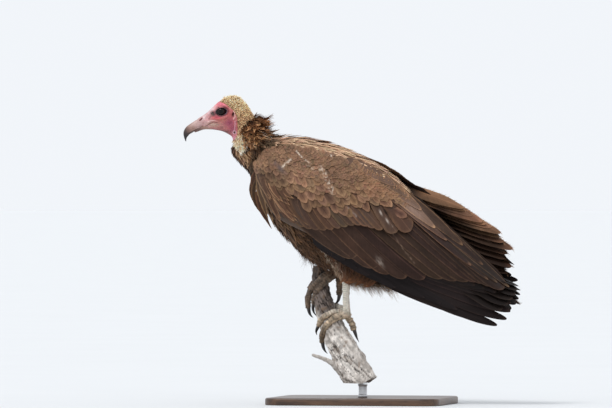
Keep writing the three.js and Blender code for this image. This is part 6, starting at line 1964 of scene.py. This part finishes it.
c1 = mix(mix(lin(196, 156, 108), lin(246, 214, 164), smooth(P[:, 2], 490, 518)[:, None]), lin(255, 232, 190), cream[:, None]) * mott[:, None]
c1 = mix(c1, lin(140, 100, 64), (0.35 * smooth(tone, 0.55, 0.9) * (1 - cream))[:, None])
c1 = mix(c1, lin(226, 198, 146), (0.6 * smooth(-edge, -2.5, 0.5) * (1 - cream))[:, None])
u0, v0 = body_uv(A, B)
base = -1.2 - 1.6 * near_edge
# the crown is painted lighter towards its top, here and in the mix for c1 above: partly the down's pale colour, partly
# painted light from above
top = smooth(P[:, 2], 478, 516)
c0 = c0 * mix(1.15, 1.5, top)[:, None] * mix(np.array([1.0, 1.0, 1.12]), np.array([1.14, 1.03, 1.05]), cream[:, None])
c1 = c1 * mix(np.array([1.19, 1.06, 1.20]), np.array([1.20, 1.05, 1.10]), cream[:, None]) * mix(1.2, 1.88, top)[:, None]
tufts(wool, P + Nn * base[:, None], Nn, D, L * 1.02, 0.60 * mix(0.75, 1.1, near_edge), rng, c0, c1, u0, v0, mix(1.25, 2.2, 0.0), R=5, curl=0.15, stand=mix(0.35, 0.62, near_edge) * mix(1, 0.5, cream), gather=0.5, tonevar=0.28, var=0.20, dark=0.52, coil=3.0)
# sparse pale bristles on the bare face and throat
A, B = scatter(SB, 1.6, 9.6, 2.3, 2.3, rng, jitter=0.6)
px, py, w = body_px(A, B)
kp = (down_edge(px, py) > 0.4) & (rng.random(len(A)) < 0.6) & (np.hypot(px - 221.4, (py - 111.5) * 1.3) > 7.5) & (np.abs(w) > 4)
A, B = A[kp], B[kp]
P, Nn = SB.at(A, B)
D = unit(tailward(SB)(P, Nn, A, B) + 0.5 * rng.normal(size=P.shape))
u0, v0 = body_uv(A, B)
add_blades(wool, P - Nn * 0.3, Nn, D, 2.6 + 1.2 * rng.random(len(A)), 0.17, rng, lin(196, 150, 130), lin(236, 214, 190), u0, v0, R=4, curl=0.35, stand=0.35, spread=0.6, var=0.1, dark=0.1)
wool.build()

# ruff: clumped rufous wool and hackles round the nape and the sides of the neck
ruff = Coat("ruff", "body_feathers", M_VANE, patch=0.004)
A, B = scatter(SB, 8.6, 13.9, 1.05, 1.15, rng, jitter=0.5)
px, py, w = body_px(A, B)
kp = (behind(A, B) > 0.4 + 0.5 * rng.normal(size=len(A))) & (px < 263 + 1.5 * rng.normal(size=len(A))) & (ang_0(B) < 2.3) & (vee(A, B) < 0.5 * rng.random(len(A))) & (A < 13.6 - 0.8 * smooth(ang_0(B), 0.9, 2.2) + 0.3 * rng.normal(size=len(A)))
A, B, px, py = A[kp], B[kp], px[kp], py[kp]
P, Nn = SB.at(A, B)
Tw = tailward(SB)(P, Nn, A, B)
Tw = unit(Tw - Nn * np.sum(Tw * Nn, -1, keepdims=True))
q3 = P * 0.16
swirl = np.stack([vnoise(q3, 4), vnoise(q3, 5), vnoise(q3, 6)], -1)
up = np.array([0.0, 0.0, 1.0])
topf = 1 - smooth(ang_0(B), 0.7, 1.9)
D = unit(Tw + 0.85 * (swirl - Nn * np.sum(swirl * Nn, -1, keepdims=True)) + 0.25 * topf[:, None] * up)
clump = vnoise(P * 0.21, 12)
L = mix(15, 11, smooth(ang_0(B), 0.6, 2.2)) * (1 + 0.30 * rng.normal(size=len(A))) * (1 + 0.3 * clump)
L = np.clip(L, 6, 26) * mix(1.0, 0.72, smooth(py, 138, 146))
c0 = mix(lin(44, 26, 16), lin(84, 52, 30), (0.5 + 0.5 * clump)[:, None])
c1 = mix(lin(92, 54, 32), lin(168, 118, 78), smooth(clump, -0.5, 0.8)[:, None])
c1 = mix(c1, lin(134, 80, 42), (0.5 * rng.random(len(A)))[:, None])
# painted shade: darker towards the wing, with a painted shadow patch between the ruff and the wing
ws = wing_shade(P + Tw * 9) * (1 - 0.35 * gauss(px, py, 258, 138, 5, 8, 40))[:, None]
c0, c1 = c0 * ws, c1 * ws
u0, v0 = body_uv(A, B)
stand = np.clip(0.42 + 0.35 * clump + 0.25 * topf, 0.1, 1.1)
tufts(ruff, P - Nn * 5.0, Nn, D, L * 1.12, 1.0, rng, c0 * 0.9, c1 * 1.12, u0, v0, 5.0, R=5, curl=0.12, stand=stand, gather=0.72, tonevar=0.26, var=0.14, dark=0.6, coil=2.5)
# hackles: narrow pointed feathers that stand over the ruff
A, B = scatter(SB, 9.4, 13.4, 3.9, 4.0, rng, jitter=0.5)
kp = (ang_0(B) < 2.1) & (behind(A, B) > 1.5) & (vee(A, B) < 0.3) & (body_px(A, B)[0] < 258.5)
A, B = A[kp], B[kp]
N = len(A)
topf = 1 - smooth(ang_0(B), 0.5, 1.5)
st = np.clip(0.16 + 0.34 * topf + 0.20 * rng.normal(size=N), 0.02, 0.95)
V, s, x, L, hw = lay(SB, A, B, tailward(SB), mix(21, 25, topf) * (1 + 0.22 * rng.normal(size=N)), 5.0 + 0.9 * rng.normal(size=N), 12, 5, sh_lance, rng,
                     lift0=-5, lift1=1.5, camber=0.7, stand=st * 0.85, head=0.42, bend=0.35, roll=0.9, fray=1.0)
c = vane_colour(N, 12, 5, s, x, lin(84, 52, 32), lin(178, 130, 88), rng, tipw=0.3, edgew=0.4, root_dark=0.6, var=0.22) * wing_shade(V)
u0, v0 = body_uv(A, B)
ruff.add(V, c, 0.34, fa_of(N, 12, 5, s, x, L, hw, rng), uv_of(u0, v0, N, 12, 5, s, x, ruff.patch))
# a few long white wisps
A = 10.6 + 3.4 * rng.random(26)
B = rng.normal(size=26) * 0.7
P, Nn = SB.at(A, B)
D = unit(tailward(SB)(P, Nn, A, B) + 0.25 * rng.normal(size=P.shape))
u0, v0 = body_uv(A, B)
add_blades(ruff, P, Nn, D, 26 + 12 * rng.random(26), 0.35, rng, lin(170, 140, 110), lin(238, 230, 220), u0, v0, R=8, curl=0.18, stand=0.4, spread=0.2, var=0.05, dark=0.1)
ruff.build()


def tract(coat, seed, a0, a1, da, db, keep, L, W, R, C, shape, centre, edge, alpha=0.36, depth=-9.0, lift1=0.4, stand=0.0, **kw):
    """one field of body feathers; keep, L, W, stand and colours may be functions of (a, b)"""
    r = np.random.default_rng(seed)
    col_kw = {k_: kw.pop(k_) for k_ in ("tipw", "edgew", "root_dark", "var", "hue") if k_ in kw}
    dirf = kw.pop("dirf", None) or tailward(SB)
    a, b = scatter(SB, a0, a1, da, db, r, jitter=0.3)
    k_ = keep(a, b) & ~under_wing(a, b)
    a, b = a[k_], b[k_]
    n = len(a)
    f = lambda v: v(a, b) if callable(v) else v
    Ln, Wn = f(L) * (1 + 0.10 * r.normal(size=n)), f(W) * (1 + 0.10 * r.normal(size=n))
    st = f(stand) * (1 + 0.5 * r.normal(size=n)) if callable(stand) or stand else 0.0
    V, s, x, Ln, hw = lay(SB, a, b, dirf, Ln, Wn, R, C, shape, r, lift0=depth, lift1=lift1, stand=st, **kw)
    cc, ce = f(centre), f(edge)
    c = vane_colour(n, R, C, s, x, cc, ce, r, **col_kw)
    c = c * (1 + 0.12 * fbm(V * 0.035, 3, seed))[..., None] * (1.0 if coat is back_c else wing_shade(V))
    u0, v0 = body_uv(a, b)
    coat.add(V, c, alpha, fa_of(n, R, C, s, x, Ln, hw, r), uv_of(u0, v0, n, R, C, s, x, coat.patch))
    return n


# neck: narrow feathers on the sides, darker and shorter in front
back_c = Coat("mantle", "body_feathers", M_VANE, patch=0.006)
neck = Coat("neck_feathers", "body_feathers", M_VANE, patch=0.006)
tract(neck, 31, 7.6, 14.6, 3.8, 3.3, lambda a, b: (ang_0(b) > 0.9) & ((behind(a, b) > 0.2) | throat_front(a, b)) & (vee(a, b) < 0.35),
      lambda a, b: mix(26, 17, smooth(ang_0(b), 2.0, 2.9)) * mix(0.5, 1, smooth(a, 8.4, 11)), lambda a, b: mix(6.4, 7.4, smooth(ang_0(b), 2, 2.9)) * mix(0.7, 1, smooth(a, 8.4, 10.5)), 12, 5, sh_lance,
      lambda a, b: mix(lin(124, 92, 68), lin(62, 42, 31), smooth(-ang_pi(b), -0.75, -0.35)[:, None]), lambda a, b: mix(lin(206, 166, 128), lin(104, 74, 54), smooth(-ang_pi(b), -0.75, -0.35)[:, None]),
      depth=-6, lift1=0.6, stand=0.03, camber=0.8, head=0.16, bend=0.2, fray=1.0, roll=0.7, tipw=0.2, edgew=0.34, root_dark=0.6, var=0.24)
neck.build()

# back: soft streaked feathers between the wings and over the rump, painted darker on the sides towards the wings:
# painted shade
tract(back_c, 41, 11.3, 22.6, 8.0, 7.6, lambda a, b: ang_0(b) < 1.35 - 0.2 * smooth(a, 16, 20),
      lambda a, b: mix(26, 62, smooth(a, 12, 16)), lambda a, b: mix(8, 13, smooth(a, 12, 16)), 18, 7, sh_lance,
      lambda a, b: mix(lin(70, 46, 31), lin(162, 124, 98), smooth(a, 12.1, 13.4)[:, None]) * (1 - 0.70 * smooth(ang_0(b), 0.64, 0.98) * smooth(a, 14.4, 15.6))[:, None], lambda a, b: mix(lin(134, 92, 60), lin(220, 186, 152), smooth(a, 12.1, 13.4)[:, None]) * (1 - 0.62 * smooth(ang_0(b), 0.70, 1.05) * smooth(a, 14.4, 15.6))[:, None], depth=-8, lift1=1.6, stand=0.006, camber=0.5, head=0.08, bend=0.12, fray=0.8, roll=0.5, tipw=0.10, edgew=0.40, root_dark=0.35, var=0.16)
back_c.build()

# breast and flanks: long pointed feathers, the front tract darker towards the rear: painted shade under the wing
breast = Coat("breast_feathers", "body_feathers", M_VANE, patch=0.006)
tract(breast, 51, 13.4, 19.4, 6.4, 5.4, lambda a, b: ang_pi(b) < 1.75,
      lambda a, b: mix(32, 58, smooth(a, 13.5, 16)), lambda a, b: mix(8.4, 11.5, smooth(a, 13.5, 16)), 20, 7, sh_lance,
      lambda a, b: mix(lin(92, 66, 49), lin(48, 32, 24), smooth(a, 14, 17)[:, None]), lambda a, b: mix(lin(158, 122, 90), lin(100, 70, 48), smooth(a, 14.5, 17.5)[:, None]), depth=-9, lift1=1.5, stand=0.035, camber=0.9, head=0.16, bend=0.3, fray=1.1, roll=0.9,
      tipw=0.16, edgew=0.36, root_dark=0.7, var=0.26)
tract(breast, 53, 18.6, 22.9, 7.0, 6.4, lambda a, b: ang_pi(b) < 1.9, 34, 14, 14, 7, sh_contour,
      lin(58, 40, 30), lin(104, 76, 56), depth=-8, lift1=1.5, stand=0.03, camber=0.8, head=0.2, bend=0.3, fray=1.4, roll=0.8, tipw=0.2, edgew=0.4, root_dark=0.6, var=0.14)
breast.build()

# thighs: soft rufous feathers that end in loose down
fluff = Coat("thigh_feathers", "body_feathers", M_VANE, patch=0.005)
for sgn, rows in ((-1, THIGH_L), (1, THIGH_R)):
    TT = flat(rows)
    nrow = len(rows) - 1

    def thigh_pt(t, a, TT=TT):
        r = along(TT, t)
        au, ah, bu, bh, y, w = (r[..., i] for i in range(6))
        c, s_ = np.cos(a), np.sin(a)
        return side((au + bu) / 2 + (au - bu) / 2 * c, (ah + bh) / 2 + (ah - bh) / 2 * c, y + w * s_)

    ST = Surf(thigh_pt, 0, nrow, 160, 0, TAU, 120, True)
    r = np.random.default_rng(60 + (sgn > 0))
    def free(a, b, ST=ST, sgn=sgn):
        P_, _ = ST.at(a, b)
        px, py = grid_of(P_[:, 0] * COS + P_[:, 1] * SIN, P_[:, 2])
        band = (px > 329) & (py < np.interp(px, [329, 342, 365.7, 384, 405], [249.5, 258.6, 271, 282, 291]) - 1.5) & (P_[:, 1] * sgn > 30)
        return ~band & ~((px > 352) & (py > 277.5))

    a, b = scatter(ST, 0.1, nrow - 0.15, 5.2, 5.4, r, jitter=0.35)
    fr = free(a, b)
    a, b = a[fr], b[fr]
    n = len(a)
    L = mix(30, 17, smooth(a, nrow - 3.0, nrow - 0.5)) * (1 + 0.12 * r.normal(size=n))
    W = mix(11, 6.5, smooth(a, nrow - 3.0, nrow - 0.5))
    V, s, x, L, hw = lay(ST, a, b, tailward(ST), L, W, 12, 7, sh_lance, r, lift0=-5.5, lift1=1.5, camber=0.7, stand=0.05 + 0.04 * r.random(n), head=0.22, bend=0.4, fray=1.4, roll=0.9)
    frontf = np.clip(np.cos(b), 0, 1) ** 6 * smooth(a, 1.0, 2.4)
    # painted shade: dark towards the top of each thigh, under the wing, lighter towards its lower end; the down strands
    # below follow it
    low = smooth(a, nrow - 2.6, nrow - 0.6)[:, None]
    cen = mix(mix(lin(54, 34, 24), lin(112, 70, 46), low), lin(170, 142, 116), (0.75 * frontf)[:, None])
    edg = mix(mix(lin(92, 58, 38), lin(168, 112, 76), low), lin(214, 196, 174), (0.75 * frontf)[:, None])
    c = vane_colour(n, 12, 7, s, x, cen, edg, r, tipw=0.22, edgew=0.4, root_dark=0.55, var=0.15)
    u0, v0 = 0.004 + 0.992 * np.mod(b, TAU) / TAU, 0.004 + 0.48 * a / nrow + (0.5 if sgn > 0 else 0)
    fluff.add(V, c, 0.4, fa_of(n, 12, 7, s, x, L, hw, r), uv_of(u0, v0, n, 12, 7, s, x, fluff.patch))
    # loose strands of down on the thigh's lower edge
    a, b = scatter(ST, 1.0, nrow - 0.1, 2.0, 2.0, r, jitter=0.5)
    fr = free(a, b)
    a, b = a[fr], b[fr]
    P, Nn = ST.at(a, b)
    D = unit(tailward(ST)(P, Nn, a, b) + 0.35 * r.normal(size=P.shape))
    n = len(a)
    tone = 0.5 + 0.5 * vnoise(P * 0.12, 5)
    L = mix(17, 9, smooth(a, nrow - 2.4, nrow - 0.4)) * (1 + 0.3 * r.normal(size=n))
    u0, v0 = 0.004 + 0.992 * np.mod(b, TAU) / TAU, 0.004 + 0.48 * a / nrow + (0.5 if sgn > 0 else 0)
    add_blades(fluff, P - Nn * 2.0, Nn, D, np.clip(L, 5, 24), 0.8, r, lin(44, 28, 20), mix(mix(lin(70, 46, 32), lin(104, 72, 50), tone[:, None]), mix(lin(136, 92, 60), lin(192, 150, 112), tone[:, None]), smooth(a, nrow - 2.2, nrow - 0.5)[:, None]), u0, v0, R=5, curl=0.45, stand=0.30, spread=0.35, var=0.14)
line = np.array([el(*p) for p in ((321.4, 243.4), (324, 250), (327.6, 256), (331.6, 262), (335.6, 267.6), (339.4, 273))])
yl = np.interp(np.linspace(0, 1, 6), [0, 0.4, 1], [-57, -50, -40])
r = np.random.default_rng(66)
n = 620
f = r.random(n)
P = side(np.interp(f, np.linspace(0, 1, 6), line[:, 0]), np.interp(f, np.linspace(0, 1, 6), line[:, 1]), np.interp(f, np.linspace(0, 1, 6), yl))
P = P + r.normal(size=P.shape) * np.array([0.8, 1.5, 0.8]) * mix(0.5, 1.5, f)[:, None]
D = unit(np.array([0.55, 0.0, -0.83]) + 0.22 * r.normal(size=P.shape))
Nn = np.broadcast_to(unit(np.array([-0.45, -0.85, -0.25])), (n, 3))
tufts(fluff, P, Nn, D, 8 + 3 * r.random(n), 0.75, r, lin(150, 122, 98), mix(lin(226, 208, 186), lin(196, 160, 128), (smooth(f, 0.5, 1.0) * 0.7)[:, None]), norm01(f), norm01(r.random(n)), 3.0, R=5, curl=0.10, stand=0.12, gather=0.5, tonevar=0.15, var=0.08, dark=0.2)
fluff.build()

# vent: pale loose down that hangs behind the thighs
vent = Coat("vent_down", "down", M_DOWN)
r = np.random.default_rng(70)
a, b = scatter(SB, 17.6, 22.6, 2.0, 2.1, r, jitter=0.5)
kp = (ang_pi(b) < 1.25)
a, b = a[kp], b[kp]
P, Nn = SB.at(a, b)
D = unit(tailward(SB)(P, Nn, a, b) * 1.0 + 0.35 * r.normal(size=P.shape) + np.array([0.2, 0, -0.35]))
n = len(a)
tone = 0.5 + 0.5 * vnoise(P * 0.1, 5)
u0, v0 = body_uv(a, b)
add_blades(vent, P - Nn * 1.5, Nn, D, np.clip(20 * (1 + 0.35 * r.normal(size=n)), 6, 36), 0.75, r, lin(40, 27, 20), mix(lin(84, 58, 42), lin(168, 130, 98), (tone ** 1.5)[:, None]), u0, v0, R=5, curl=0.4, stand=0.35, spread=0.3, var=0.14)
vent.build()

# long wisps behind the thighs
wisp = Coat("vent_wisps", "down", M_DOWN)
r = np.random.default_rng(77)
n = 620
f = r.random(n)
px, py = mix(345, 392, f), mix(277, 282, f) + 4.0 * r.random(n)
yy = mix(-44, -8, r.random(n)) * mix(1.0, 0.8, f)
P = side(*el(px, py), yy)
sw = vnoise(P * 0.11, 3)
an = rad(1) * (38 + 16 * sw + 9 * r.normal(size=n))
D = np.stack([np.cos(an), 0.35 * r.normal(size=n), -np.sin(an)], -1)
Nn = np.broadcast_to(np.array([0.0, -0.5, -0.8]), (n, 3))
tone = 0.5 + 0.5 * vnoise(P * 0.15, 8)
tufts(wisp, P, unit(Nn), unit(D), mix(17, 27, r.random(n)), 0.55, r, lin(58, 38, 27), mix(lin(120, 84, 58), lin(206, 178, 150), tone[:, None]), norm01(f), norm01(yy), 6.0, R=6, curl=0.10, stand=0.15, gather=0.6, tonevar=0.2, var=0.12, dark=0.3, coil=1.5)
wisp.build()


# scutes: overlapping plates down the front of each tarsus and along the top of each toe
scute = Coat("leg_scutes", "leg_skin", M_SKIN.m, patch=0.004)
r = np.random.default_rng(99)
across = np.linspace(-1, 1, 15)
down_s = np.array([0.0, 0.22, 0.5, 0.84, 1.0, 1.03])
down_o = np.array([-0.45, 0.05, 0.34, 0.50, 0.36, -0.5])
Vs, Cs, us, vs = [], [], [], []
for fi, foot in enumerate((foot_l, foot_r)):
    for c, rad_, kind in foot[4]:
        s = np.concatenate([[0], np.cumsum(np.linalg.norm(np.diff(c, axis=0), axis=1))])
        t, _, _ = frames(c)
        up = np.array([-1.0, -0.35, 0.0]) if kind == 0 else np.array([-0.5, -0.25, 0.75])
        pos = 12.0 if kind == 0 else 5.0
        end = s[-1] - (3.0 if kind == 0 else rad_[-1] * 1.0)
        wide = 1.7 if kind == 0 else 2.05
        while pos < end - 1.5:
            pitch = (3.4 if kind == 0 else 3.9) * (1 + 0.12 * r.normal())
            ss = pos + down_s * pitch * 1.10
            p0_ = np.stack([np.interp(ss, s, c[:, i]) for i in range(3)], -1)
            t0_ = unit(np.stack([np.interp(ss, s, t[:, i]) for i in range(3)], -1))
            r0_ = np.interp(ss, s, rad_)
            u0_ = unit(up - t0_ * (t0_ @ up)[:, None])
            b0_ = np.cross(t0_, u0_)
            w = wide * (1 + 0.08 * r.normal())
            skew = 0.25 * r.normal()
            an = across * w + 0.10 * r.normal()
            off = down_o[:, None] * (1.0 if kind == 0 else 1.7) * (1 + 0.3 * r.normal()) * (1 - 0.75 * np.abs(across) ** 8)[None] - 0.7 * (np.abs(across) ** 10)[None]
            off = off + 0.10 * vnoise(np.stack([ss[:, None] * 1.1 + 0 * an, 0 * ss[:, None] + an * 3, 0 * off + kind + 7 * fi], -1), 5)
            g = p0_[:, None] + t0_[:, None] * (skew * across[None] * 0.8 - 0.5 * across[None] ** 2)[..., None]
            g = g + (r0_[:, None] * 0.985 + off)[..., None] * (np.cos(an)[None, :, None] * u0_[:, None] + np.sin(an)[None, :, None] * b0_[:, None])
            base = leg_colour(g.reshape(-1, 3), np.full(g.size // 3, float(fi))).reshape(*g.shape)
            # painted shade and highlight: each plate darker at both tucked ends and at its sides, lighter along its
            # raised edge
            plate_shading = np.interp(down_s, [0, 0.15, 0.5, 0.9, 1.0, 1.03], [0.18, 0.50, 1.0, 1.22, 1.0, 0.15])[:, None] * (1 - 0.35 * np.abs(across) ** 5)[None]
            Vs.append(g)
            Cs.append(base * plate_shading[..., None] * (1.0 if kind == 0 else 0.86) * np.clip(1 + (0.08 if kind == 0 else 0.16) * r.normal(), 0.7, 1.2))
            us.append((pos / (s[-1] + 1)) * 0.9 + 0.05)
            vs.append((kind + 5 * fi + 0.5) / 10)
            pos += pitch
Vs, Cs = np.array(Vs), np.array(Cs)
n = len(Vs)
fa = np.zeros(Vs.shape)
scute.add(Vs, Cs, 0.5, fa, uv_of(norm01(np.array(us)), norm01(np.array(vs)), n, 6, 15, down_s, across, scute.patch))
scute.build()
print("scutes", n)


# ------------------------------------------------------------------ camera, light and floor
scene = bpy.context.scene
scene.view_settings.view_transform = "Standard"
scene.view_settings.look = "None"
P = side(*el(306, 204), 0.0)
uc, hc = el(306, 204)
target = np.array([uc * COS, uc * SIN, hc])
cam_d = bpy.data.cameras.new("camera")
cam_d.sensor_width = 36.0
cam_d.sensor_fit = "HORIZONTAL"
cam_d.lens = 36.0 * 12.0 / (612 * K * 0.001)
cam_d.clip_start, cam_d.clip_end = 0.1, 500.0
cam = bpy.data.objects.new("camera", cam_d)
scene.collection.objects.link(cam)
from mathutils import Vector
back = Vector((SIN, -COS, 0.0))
cam.location = Vector((target * 0.001).tolist()) + back * 12.0
cam.rotation_mode = "QUATERNION"
cam.rotation_quaternion = (-back).to_track_quat("-Z", "Y")
scene.camera = cam

world = bpy.data.worlds.new("studio")
scene.world = world
world.use_nodes = True
bg = world.node_tree.nodes["Background"]
bg.inputs["Color"].default_value = (0.885, 0.915, 0.955, 1)
bg.inputs["Strength"].default_value = 1.0


def sun(name, direction, strength, angle, color=(1, 1, 1)):
    d = bpy.data.lights.new(name, "SUN")
    d.energy, d.angle, d.color = strength, rad(angle), color
    o = bpy.data.objects.new(name, d)
    o.rotation_mode = "QUATERNION"
    o.rotation_quaternion = Vector(direction).normalized().to_track_quat("-Z", "Y")
    scene.collection.objects.link(o)
    return o


sun("key_light", (0.35, 0.55, -1.0), 1.35, 22)
n = 64
an = np.linspace(0, TAU, n, endpoint=False)
ring = np.stack([np.cos(an), np.sin(an), 0 * an], -1)
V = np.concatenate([[[0, 0, -0.2]], ring * 3000 + [0, 0, -0.2], ring * 400000 + [0, 0, -0.2]])
k_ = np.arange(n)
k2 = (k_ + 1) % n
fl = make_mesh("studio_floor", V, np.stack([1 + k_, 1 + n + k_, 1 + n + k2, 1 + k2], -1), np.stack([np.zeros(n, int), 1 + k_, 1 + k2], -1))
k = Nodes("floor_paper")
g = k.noise(k.coords((1, 1, 1)), 3.0, 3, 0.5)
k.link(k.ramp(g, [(0.3, (0.703, 0.7135, 0.7215)), (0.7, (0.715, 0.7255, 0.7335))]), k.b.inputs["Base Color"])
k.set(Roughness=0.9, Specular_IOR_Level=0.1)
fl.data.materials.append(k.m)

for o in list(bpy.context.scene.objects):
    if o.type == "MESH" and o.get("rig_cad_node") and not o.hide_render:
        print("CAD node still shown:", o.name)
